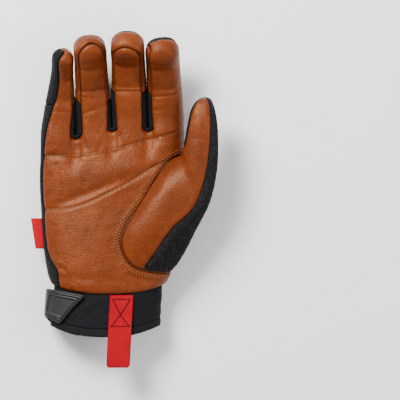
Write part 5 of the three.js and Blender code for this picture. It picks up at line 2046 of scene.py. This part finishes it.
    def pile(self, skin: Skin) -> Array:
        """Negative on the pile of the outer side.

        Args:
            skin: The thumb's skin, or a part of it.

        Returns:
            One value a point.
        """
        angle, share, scale = self.turns(skin)
        low, high = PILE_FRONT.read("angle", share), THUMB_BORDERS.read("pile_back", share)
        sides = np.maximum(low - angle, angle - high)
        return np.maximum(sides, (PILE_START - share) * self.pile_slope) * scale

    def gusset(self, skin: Skin) -> Array:
        """Negative on the black gusset of the inner side.

        Args:
            skin: The thumb's skin, or a part of it.

        Returns:
            One value a point.
        """
        angle, share, scale = self.turns(skin)
        signed = np.where(angle > 180, angle - 360, angle)
        high, low = (THUMB_BORDERS.read(name, share) for name in ("gusset_front", "gusset_back"))
        sides = np.maximum(low - signed, signed - high)
        return np.maximum(sides, (GUSSET_START - share) * self.gusset_slope) * scale

    def back(self, skin: Skin) -> Array:
        """Negative on the leather of the thumb's back."""
        angle, _, scale = self.turns(skin)
        return np.sin(np.radians(THUMB_SPLIT - angle)) * np.degrees(scale)

    def build(self) -> None:
        """Cuts and writes the thumb's panels, and sews them."""
        pile, leather = self.skin.split(self.pile(self.skin))
        gusset, around = leather.split(self.gusset(leather))
        back, front = around.split(self.back(around))
        for name, skin, finish, slot, edging, wrinkle in (
            ("thumb_leather", front, LEATHER, Slot.LEATHER, HIDE_EDGE, 0.4),
            ("thumb_back", back, LEATHER, Slot.LEATHER, HIDE_EDGE, 0.3),
            ("thumb_terry", pile, TERRY, Slot.TERRY, TERRY_EDGE, 0.1),
            ("thumb_inner", gusset, SMOOTH_BLACK, Slot.BLACK_FABRIC, CLOTH_EDGE, 0.2),
        ):
            self.panels[name] = Panel(name, skin.largest(), finish, slot, edging, wrinkle)
            self.panels[name].build(self.shop)
        Tufts().build(self.shop, "terry_pile", self.panels["thumb_terry"])
        self.welt()
        tan = Stitcher("stitches_thumb", TAN)
        for name in ("thumb_back", "thumb_leather"):
            skin = self.panels[name].skin
            for level in DOUBLE_ROW:
                sew_line(tan, skin, self.pile(skin), level, lambda line: line[:, 5] < self.sewn_behind)
        tan.build(self.shop)

    def welt(self) -> None:
        """Writes the folded seam allowance that closes the gap under the thumb's seam."""
        foot, normals = (np.array(values) for values in zip(*self.foot))
        centre = foot - normals * self.welt_sink
        heading = unit(np.roll(centre, -1, axis=0) - np.roll(centre, 1, axis=0))
        side = unit(np.cross(heading, normals))
        up = np.cross(side, heading)
        turn = (np.arange(self.welt_sides) * 2 * math.pi / self.welt_sides)[None, :, None]
        ring = side[:, None] * np.cos(turn) + up[:, None] * np.sin(turn)
        places = (centre[:, None] + self.welt_radius * ring).reshape(-1, 3)
        number = np.arange(len(places)).reshape(-1, self.welt_sides)
        ahead, turned = np.roll(number, -1, axis=0), np.roll(number, -1, axis=1)
        both = np.roll(ahead, -1, axis=1)
        faces = facing_out(places, np.stack([number, ahead, both, turned], -1).reshape(-1, 4))
        # The welt is painted darker: painted shade in the gap under the thumb's seam.
        self.shop.write("thumb_welt", places, faces, LEATHER, Slot.LEATHER, worn=self.welt_shade)


def spread(x: Array, y: Array, z: Array) -> Array:
    """A grid of points from coordinates that may each vary along one axis only."""
    return np.stack(np.broadcast_arrays(x, y, z), -1)


def cuff_surface(y: Array, angle: Array, lift: Array) -> Array:
    """Points on the cuff, lifted off its surface.

    Args:
        y: Heights.
        angle: Angles round the cuff in degrees.
        lift: Distances off the surface.

    Returns:
        The points.
    """
    middle, half_width, front, back = tube_section(CUFF, y)
    x, z = section_point(angle, half_width + lift, front + lift, back + lift)
    return spread(middle + x, y, z)


def shell_faces(rows: int, columns: int, closed: bool) -> Array:
    """Quads of a closed shell between two grids of points, the outer one first.

    Args:
        rows: Rows of each grid.
        columns: Points of each row.
        closed: Whether each row runs all the way round.

    Returns:
        Corner numbers.
    """
    outer = np.arange(rows * columns).reshape(rows, columns)
    if closed:
        outer = np.concatenate([outer, outer[:, :1]], 1)
    inner = outer + rows * columns
    faces = [
        np.stack([outer[:-1, :-1], outer[:-1, 1:], outer[1:, 1:], outer[1:, :-1]], -1).reshape(-1, 4),
        np.stack([inner[:-1, :-1], inner[1:, :-1], inner[1:, 1:], inner[:-1, 1:]], -1).reshape(-1, 4),
        np.stack([inner[0, :-1], inner[0, 1:], outer[0, 1:], outer[0, :-1]], -1),
        np.stack([outer[-1, :-1], outer[-1, 1:], inner[-1, 1:], inner[-1, :-1]], -1),
    ]
    if not closed:
        faces.append(np.stack([outer[:-1, 0], outer[1:, 0], inner[1:, 0], inner[:-1, 0]], -1))
        faces.append(np.stack([inner[:-1, -1], inner[1:, -1], outer[1:, -1], outer[:-1, -1]], -1))
    return np.concatenate(faces)


def facing_out(places: Array, quads: Array) -> Array:
    """Turns a closed shell's quads outwards when they face in.

    Args:
        places: The points.
        quads: Corner numbers.

    Returns:
        The quads, facing out.
    """
    a, b, c, d = corners(places, quads)
    volume = np.einsum("ij,ij->i", a, np.cross(b, c)).sum() + np.einsum("ij,ij->i", a, np.cross(c, d)).sum()
    return quads[:, ::-1] if volume < 0 else quads


@dataclass
class CuffAssembly(Assembly):
    """The stretch cuff and the binding round its hem."""

    wall: float = 2.4
    hem_front: float = -37.2
    hem_back: float = -38.4
    hem_side: float = -28.6
    binding: float = 6.0
    proud: float = 0.6
    top: float = 9.0
    columns: int = 220
    rows: int = 46
    turns: int = 13
    weave: float = 0.9
    stitch_inset: float = 1.2
    stitch_lift: float = 0.5
    swells = (Swell(19, 0.35, 70), Swell(7, 0.12, 71))
    hem_swell = Swell(5, 0.12, 72)
    inner_share, top_fade, foot_fade = 0.4, 4.0, 5.0

    def hem(self, angle: Array) -> Array:
        """The hem's lower edge at an angle round the cuff."""
        middle = np.where(np.sin(np.radians(angle)) > 0, self.hem_front, self.hem_back)
        return mix(middle, self.hem_side, np.cos(np.radians(angle)) ** 2)

    def build(self) -> None:
        """Writes the cuff and its binding."""
        angle = np.arange(self.columns) * 360 / self.columns
        share = np.linspace(0, 1, self.rows)[:, None]
        y = mix(self.top, self.hem(angle) + self.binding + SEAM_GAP, share)
        grid = cuff_surface(y, angle[None], 0.0).reshape(-1, 3)
        soft = sum(swell.read(grid) for swell in self.swells).reshape(self.rows, -1)
        soft *= ease(share * self.top_fade) * ease((1 - share) * self.foot_fade)
        outer = cuff_surface(y, angle[None], soft)
        inner = cuff_surface(y, angle[None], soft * self.inner_share - self.wall)
        self.write("cuff", outer, inner, angle, NEOPRENE, Slot.NEOPRENE)
        turn = np.linspace(0, math.pi, self.turns)[:, None]
        height = self.hem(angle) + self.binding * (1 + np.cos(turn)) / 2
        proud = self.proud * np.sin(turn) ** 0.5
        swell = self.hem_swell.read(grid[: len(angle)]) * np.sin(turn)
        outer = cuff_surface(height, angle[None], proud + swell)
        inner = cuff_surface(height, angle[None], -self.wall - proud)
        self.write("cuff_binding", outer, inner, angle, BINDING, Slot.BINDING)
        self.sew(angle)

    def write(self, name: str, outer: Array, inner: Array, angle: Array, finish: Finish,
              slot: Slot) -> None:
        """Writes a closed round wall with its weave running round.

        Args:
            name: The object's name.
            outer: Rows of points on the outside.
            inner: Rows of points on the inside.
            angle: Their angles round the cuff.
            finish: Its finish.
            slot: Its material slot.
        """
        heights = np.concatenate([outer[..., 1].ravel(), inner[..., 1].ravel()])
        pattern = np.stack([np.tile(angle * self.weave, len(outer) * 2), heights], 1)
        self.shop.shell(name, outer, inner, finish, slot, closed=True, pattern=pattern)

    def sew(self, angle: Array) -> None:
        """Sews the binding's upper edge.

        Args:
            angle: The columns' angles round the cuff.
        """
        row = Stitcher("stitches_binding", Thread(BLACK_THREAD, Slot.BINDING, 2.6, 2.0, 0.22))
        ring = np.append(angle, 360)
        places = cuff_surface(self.hem(ring) + self.binding - self.stitch_inset, ring, self.stitch_lift)
        outward = (places - [CUFF_MIDDLE, 0, 0]) * [1, 0, 1]
        row.along(np.concatenate([places, unit(outward)], 1))
        row.build(self.shop)


@dataclass
class StrapAssembly(Assembly):
    """The moulded strap round the wrist's little-finger edge."""

    lift: float = 1.5
    thick: float = 2.2
    length: float = 140.0
    width: float = 24.0
    corner: float = 3.2
    edge_radius: float = 1.3
    edge_fall: float = 0.9
    recess: float = 1.25
    recesses: tuple[tuple[float, float], ...] = ((0.04, 0.32), (0.62, 0.96))
    recess_side: float = 0.2
    recess_slope: float = 0.7
    bulge: tuple[float, float, float] = (2.6, 0.42, 0.24)
    grooves: tuple[float, float] = (1.5, 3.3)
    groove_depth: float = 0.3
    groove_width: float = 0.4
    groove_shade: tuple[float, float] = (1.3, 0.45)
    recess_shade: float = 3.2
    columns: int = 300
    rows: int = 70
    sewn_ends: tuple[tuple[float, float], ...] = ((0.017, 0.36), (0.983, 0.58))
    sewn_side: float = 0.1
    table: Table = Table(
        ("u", "top_angle", "top_y", "foot_angle", "foot_y"),
        ((0, 107, -4, 137, -27), (0.14, 128, -1.6, 151, -24.4), (0.32, 158, 0.6, 168, -21.4),
         (0.48, 185, 0.9, 185, -21.6), (0.62, 206, -1.6, 206, -27), (0.82, 232, -7.4, 230, -34),
         (1, 253, -15, 249, -37.6)),
    )

    def surface(self, u: Array, v: Array, lift: Array) -> Array:
        """Points of the strap.

        Args:
            u: Shares of its length.
            v: Shares of its width.
            lift: Distances off the cuff.

        Returns:
            The points.
        """
        top, foot = self.table.read("top_angle", u), self.table.read("foot_angle", u)
        y = mix(self.table.read("top_y", u), self.table.read("foot_y", u), v)
        return cuff_surface(y, mix(top, foot, v), lift)

    def build(self) -> None:
        """Writes the strap with its recessed panels, and its stitches."""
        u = np.linspace(0, 1, self.columns)[None]
        v = np.linspace(0, 1, self.rows)[:, None]
        from_end = np.minimum(u, 1 - u) * self.length
        across = 0.5 + (v - 0.5) * (1 - 2 * self.corner / self.width * edge_drop(from_end, self.corner))
        inset = np.minimum(from_end, np.minimum(v, 1 - v) * self.width)
        sunk = np.zeros_like(inset)
        for low, high in self.recesses:
            along = np.minimum(u - low, high - u) * self.length
            beside = np.minimum(v - self.recess_side, 1 - self.recess_side - v) * self.width
            sunk = np.maximum(sunk, ease(np.minimum(along, beside) / self.recess_slope + 0.5))
        rise, at, reach = self.bulge
        lift = self.lift + rise * bump(u - at, reach)
        groove = self.groove_depth * sum(bump(inset - place, self.groove_width) for place in self.grooves)
        top = self.thick - self.edge_fall * edge_drop(inset, self.edge_radius) - self.recess * sunk - groove
        # Painted shade: the strap is darker in its grooves and round the sloping sides of its recesses.
        depth, width = self.groove_shade
        shade = -depth * sum(bump(inset - place, width) for place in self.grooves)
        shade -= self.recess_shade * sunk * (1 - sunk)
        outer, inner = self.surface(u, across, lift + top), self.surface(u, across, lift)
        worn = np.concatenate([shade.ravel(), np.zeros(shade.size)])
        self.shop.shell("closure_strap", outer, inner, RUBBER, Slot.MOULDED_RUBBER, worn=worn)
        self.sew(lift)

    def sew(self, lift: Array) -> None:
        """Sews a row round both ends, in the raised border.

        Args:
            lift: The strap's lift along its length.
        """
        row = Stitcher("stitches_strap", Thread(BLACK_THREAD, Slot.MOULDED_RUBBER, 2.2, 1.7, 0.3, 0.0))
        low, high = self.sewn_side, 1 - self.sewn_side
        for end, reach in self.sewn_ends:
            u = np.concatenate([np.linspace(reach, end, 60), np.full(30, end), np.linspace(end, reach, 60)])
            v = np.concatenate([np.full(60, low), np.linspace(low, high, 30), np.full(60, high)])
            height = self.thick + np.interp(u, np.linspace(0, 1, self.columns), lift[0])
            places = self.surface(u, v, height)
            outward = unit(self.surface(u, v, height + 1) - places)
            row.along(np.concatenate([places, outward], 1))
        row.build(self.shop)


@dataclass
class StrapPatch(Assembly):
    """The fabric patch that the strap closes on, at the back of the wrist."""

    start: float = 209.0
    end: float = 262.0
    top_y: float = -3.0
    foot_y: float = -23.0
    slope: float = -7.0
    round_from: float = 0.66
    least_round: float = 0.05
    length: float = 45.0
    lift: float = 0.32
    thick: float = 0.8
    edge_fall: float = 0.4
    edge_radius: float = 0.8
    columns: int = 60
    rows: int = 40

    def build(self) -> None:
        """Writes the patch."""
        u = np.linspace(0, 1, self.columns)[None]
        v = np.linspace(0, 1, self.rows)[:, None]
        into = np.maximum(0, (u - self.round_from) / (1 - self.round_from))
        half = np.sqrt(np.maximum(self.least_round, 1 - into**2)) / 2
        height = self.top_y - self.foot_y
        y = (self.top_y + self.foot_y) / 2 + self.slope * u + height * half * (1 - 2 * v)
        inset = np.minimum(np.minimum(u, 1 - u) * self.length, np.minimum(v, 1 - v) * height)
        top = self.lift + self.thick - self.edge_fall * (1 - ease(inset / self.edge_radius))
        angle = mix(self.start, self.end, u)
        outer, inner = cuff_surface(y, angle, top), cuff_surface(y, angle, self.lift)
        self.shop.shell("strap_patch", outer, inner, SMOOTH_BLACK, Slot.NEOPRENE)


@dataclass
class PullLoop(Assembly):
    """A tab of webbing doubled over the hem, sewn with a cross between two lines."""

    width: float = 18.8
    thick: float = 1.3
    angle: float = 78.0
    top_x: float = 7.8
    foot_x: float = 4.8
    top_y: float = -4.0
    fold_y: float = -62.0
    hem_y: float = -37.2
    corner: float = 3.0
    corner_share: float = 0.98
    edge_radius: float = 0.8
    edge_fall: float = 0.35
    outside: tuple[tuple[float, float], ...] = ((-4, 1.1), (-20, 1.1), (-33, 1.9), (-46, 1.3), (-57, 0.4))
    inside: tuple[tuple[float, float], ...] = (
        (-61.4, 1.2), (-57, 2.6), (-46, 4), (-36, 5.5), (-28, 5.1), (-14, 4.9))
    rows: int = 220
    columns: int = 40
    box_start: int = 6
    box_foot: float = -28.5
    box_inset: float = 2.2
    box_flare: float = 1.12
    box_steps: int = 40

    def cut_in(self, y: Array) -> Array:
        """How much narrower each side is near the fold, for its rounded corners."""
        into = np.clip(1 - (y - self.fold_y) / self.corner, 0, 1)
        return self.corner * (1 - np.sqrt(1 - self.corner_share * into**2))

    def surface_depth(self, y: float) -> float:
        """The cuff's surface at a height, held level below the hem."""
        return float(cuff_surface(max(y, self.hem_y), self.angle, 0.0)[2])

    def path(self) -> Array:
        """The webbing's middle line, as heights and depths."""
        points = [(y, self.surface_depth(y) + lift) for y, lift in self.outside]
        return catmull(points + [(y, self.surface_depth(y) - drop) for y, drop in self.inside], self.rows)

    def build(self) -> None:
        """Writes the webbing and its stitches."""
        path = self.path()
        tangent = unit(np.gradient(path, axis=0))
        share = np.clip((self.top_y - path[:, 0]) / (self.top_y - self.fold_y), 0, 1)
        centre = mix(self.top_x, self.foot_x, share)
        across = np.linspace(-0.5, 0.5, self.columns)
        from_side = (0.5 - np.abs(across)) * self.width
        half = self.thick / 2 - self.edge_fall * edge_drop(from_side, self.edge_radius)
        x = centre[:, None] + across * (self.width - 2 * self.cut_in(path[:, 0]))[:, None]
        outer, inner = (spread(x, path[:, :1] + tangent[:, 1:] * off, path[:, 1:] - tangent[:, :1] * off)
                        for off in (-half, half))
        edge = np.tile(from_side, len(path) * 2)
        self.shop.shell("pull_loop", outer, inner, WEBBING, Slot.RED_WEBBING, edge=edge)
        self.sew(path, centre, tangent)

    def sew(self, path: Array, centre: Array, tangent: Array) -> None:
        """Sews an upper and a lower line with a cross between them in dark thread over the cuff.

        Args:
            path: The webbing's middle line.
            centre: Its x along the line.
            tangent: Its direction along the line.
        """
        row = Stitcher("stitches_loop", Thread(BLACK_THREAD, Slot.RED_WEBBING, 2.0, 1.75, 0.44))
        low, high = float(self.box_start), float(np.argmax(path[:, 0] < self.box_foot))
        half, flare = self.width / 2 - self.box_inset, self.box_flare
        index = np.arange(len(path))
        for start, start_side, end, end_side in (
            (low, -1, low, 1), (high, -flare, high, flare), (low, -1, high, 1), (high, -1, low, 1),
        ):
            at = np.linspace(start, end, self.box_steps)
            lines = (*path.T, centre, *tangent.T)
            y, z, x, along_y, along_z = (np.interp(at, index, values) for values in lines)
            normal = np.stack([np.zeros_like(y), along_z, -along_y], 1)
            normal *= np.sign(normal[:, 2:3])
            x = x + np.linspace(start_side * half, end_side * half, self.box_steps)
            places = np.stack([x, y, z], 1) + normal * (self.thick / 2)
            row.along(np.concatenate([places, normal], 1))
        row.build(self.shop)


@dataclass
class SideTag(Assembly):
    """The small bare folded tag in the little-finger edge."""

    table: Table = Table(("y", "inner", "outer"),
                         ((33, -54.7, -61.6), (45, -55.75, -63.4), (57.5, -56.7, -65.4)))
    z: float = 1.2
    thick: float = 1.0
    width: float = 8.0
    edge_fall: float = 0.3
    edge_radius: float = 0.7
    rows: int = 30
    columns: int = 14

    def build(self) -> None:
        """Writes the tag."""
        low, high = self.table.rows[0][0], self.table.rows[-1][0]
        y = np.linspace(low, high, self.rows)[:, None]
        share = np.linspace(0, 1, self.columns)[None]
        x = mix(self.table.read("outer", y), self.table.read("inner", y), share)
        inset = np.minimum(np.minimum(y - low, high - y), share * self.width)
        rounding = self.edge_fall * (1 - ease(inset / self.edge_radius))
        top, foot = spread(x, y, self.z + self.thick - rounding), spread(x, y, self.z + rounding)
        self.shop.shell("side_tag", top, foot, TAG, Slot.RED_TAG)


@dataclass
class Studio:
    """The floor, the lights and the camera."""

    target: tuple[float, float, float] = (0.0609, 0.0, 0.03)
    lights_target: tuple[float, float, float] = (0.0, 0.0, 0.02)
    width: float = 0.32
    distance: float = 4.0
    sensor: float = 36.0
    far: float = 20.0
    floor_half: float = 4.0
    floor_tone: float = 0.92
    floor_roughness: float = 0.9
    floor_gloss: float = 0.1
    sky: float = 0.56
    lamps: tuple[tuple[str, tuple[float, float, float], float, float], ...] = (
        ("key", (-0.5, 0.7, 0.9), 0.5, 37.0),
        ("fill", (0.9, -0.1, 0.8), 0.8, 8.0),
        ("rim", (0.1, -1.0, 0.5), 0.6, 1.5),
    )

    def place(self, name: str, data: bpy.types.ID) -> bpy.types.Object:
        """Puts a mesh, light or camera in the scene.

        Args:
            name: The object's name.
            data: What it shows.

        Returns:
            The object.
        """
        obj = bpy.data.objects.new(name, data)
        bpy.context.scene.collection.objects.link(obj)
        return obj

    def floor(self) -> None:
        """Adds a pale floor."""
        mesh = bpy.data.meshes.new("floor")
        half = self.floor_half
        corner_places = [(-half, -half, 0), (half, -half, 0), (half, half, 0), (-half, half, 0)]
        mesh.from_pydata(corner_places, [], [(0, 1, 2, 3)])
        material = bpy.data.materials.new("floor")
        NodeBoard(material).surface({
            "Base Color": (self.floor_tone, self.floor_tone, self.floor_tone, 1.0),
            "Roughness": self.floor_roughness,
            "Specular IOR Level": self.floor_gloss,
        })
        mesh.materials.append(material)
        obj = self.place("floor", mesh)

    def light(self, name: str, place: tuple[float, float, float], size: float, watts: float) -> None:
        """Adds a soft area light aimed at the glove.

        Args:
            name: The light's name.
            place: Where it stands, in metres.
            size: The length of its sides.
            watts: Its power.
        """
        data = bpy.data.lights.new(name, "AREA")
        data.shape = "SQUARE"
        data.size = size
        data.energy = watts
        obj = self.place(name, data)
        obj.location = place
        obj.rotation_euler = (Vector(self.lights_target) - Vector(place)).to_track_quat("-Z", "Y").to_euler()

    def build(self) -> None:
        """Adds the floor, world, lights and camera."""
        self.floor()
        world = bpy.data.worlds.new("studio")
        world.use_nodes = True
        background = world.node_tree.nodes["Background"]
        background.inputs[0].default_value = (1, 1, 1, 1)
        background.inputs[1].default_value = self.sky
        bpy.context.scene.world = world
        for lamp in self.lamps:
            self.light(*lamp)
        data = bpy.data.cameras.new("camera")
        data.sensor_width = self.sensor
        data.lens = self.sensor * self.distance / self.width
        data.clip_end = self.far
        camera = self.place("camera", data)
        x, y, z = self.target
        camera.location = (x, y, z + self.distance)
        bpy.context.scene.camera = camera


def main() -> None:
    """Builds the glove piece by piece, then the studio."""
    logging.basicConfig(level=logging.INFO, format="%(name)s: %(message)s", stream=sys.stdout)
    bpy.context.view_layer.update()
    shop = Workshop()
    hand = GloveHand(shop)
    hand.build()
    GloveThumb(shop, hand.skin).build()
    for assembly in (CuffAssembly, StrapAssembly, StrapPatch, PullLoop, SideTag):
        assembly(shop).build()
    Studio().build()
    LOG.info("%d pieces", shop.count)


if __name__ == "__main__":
    main()
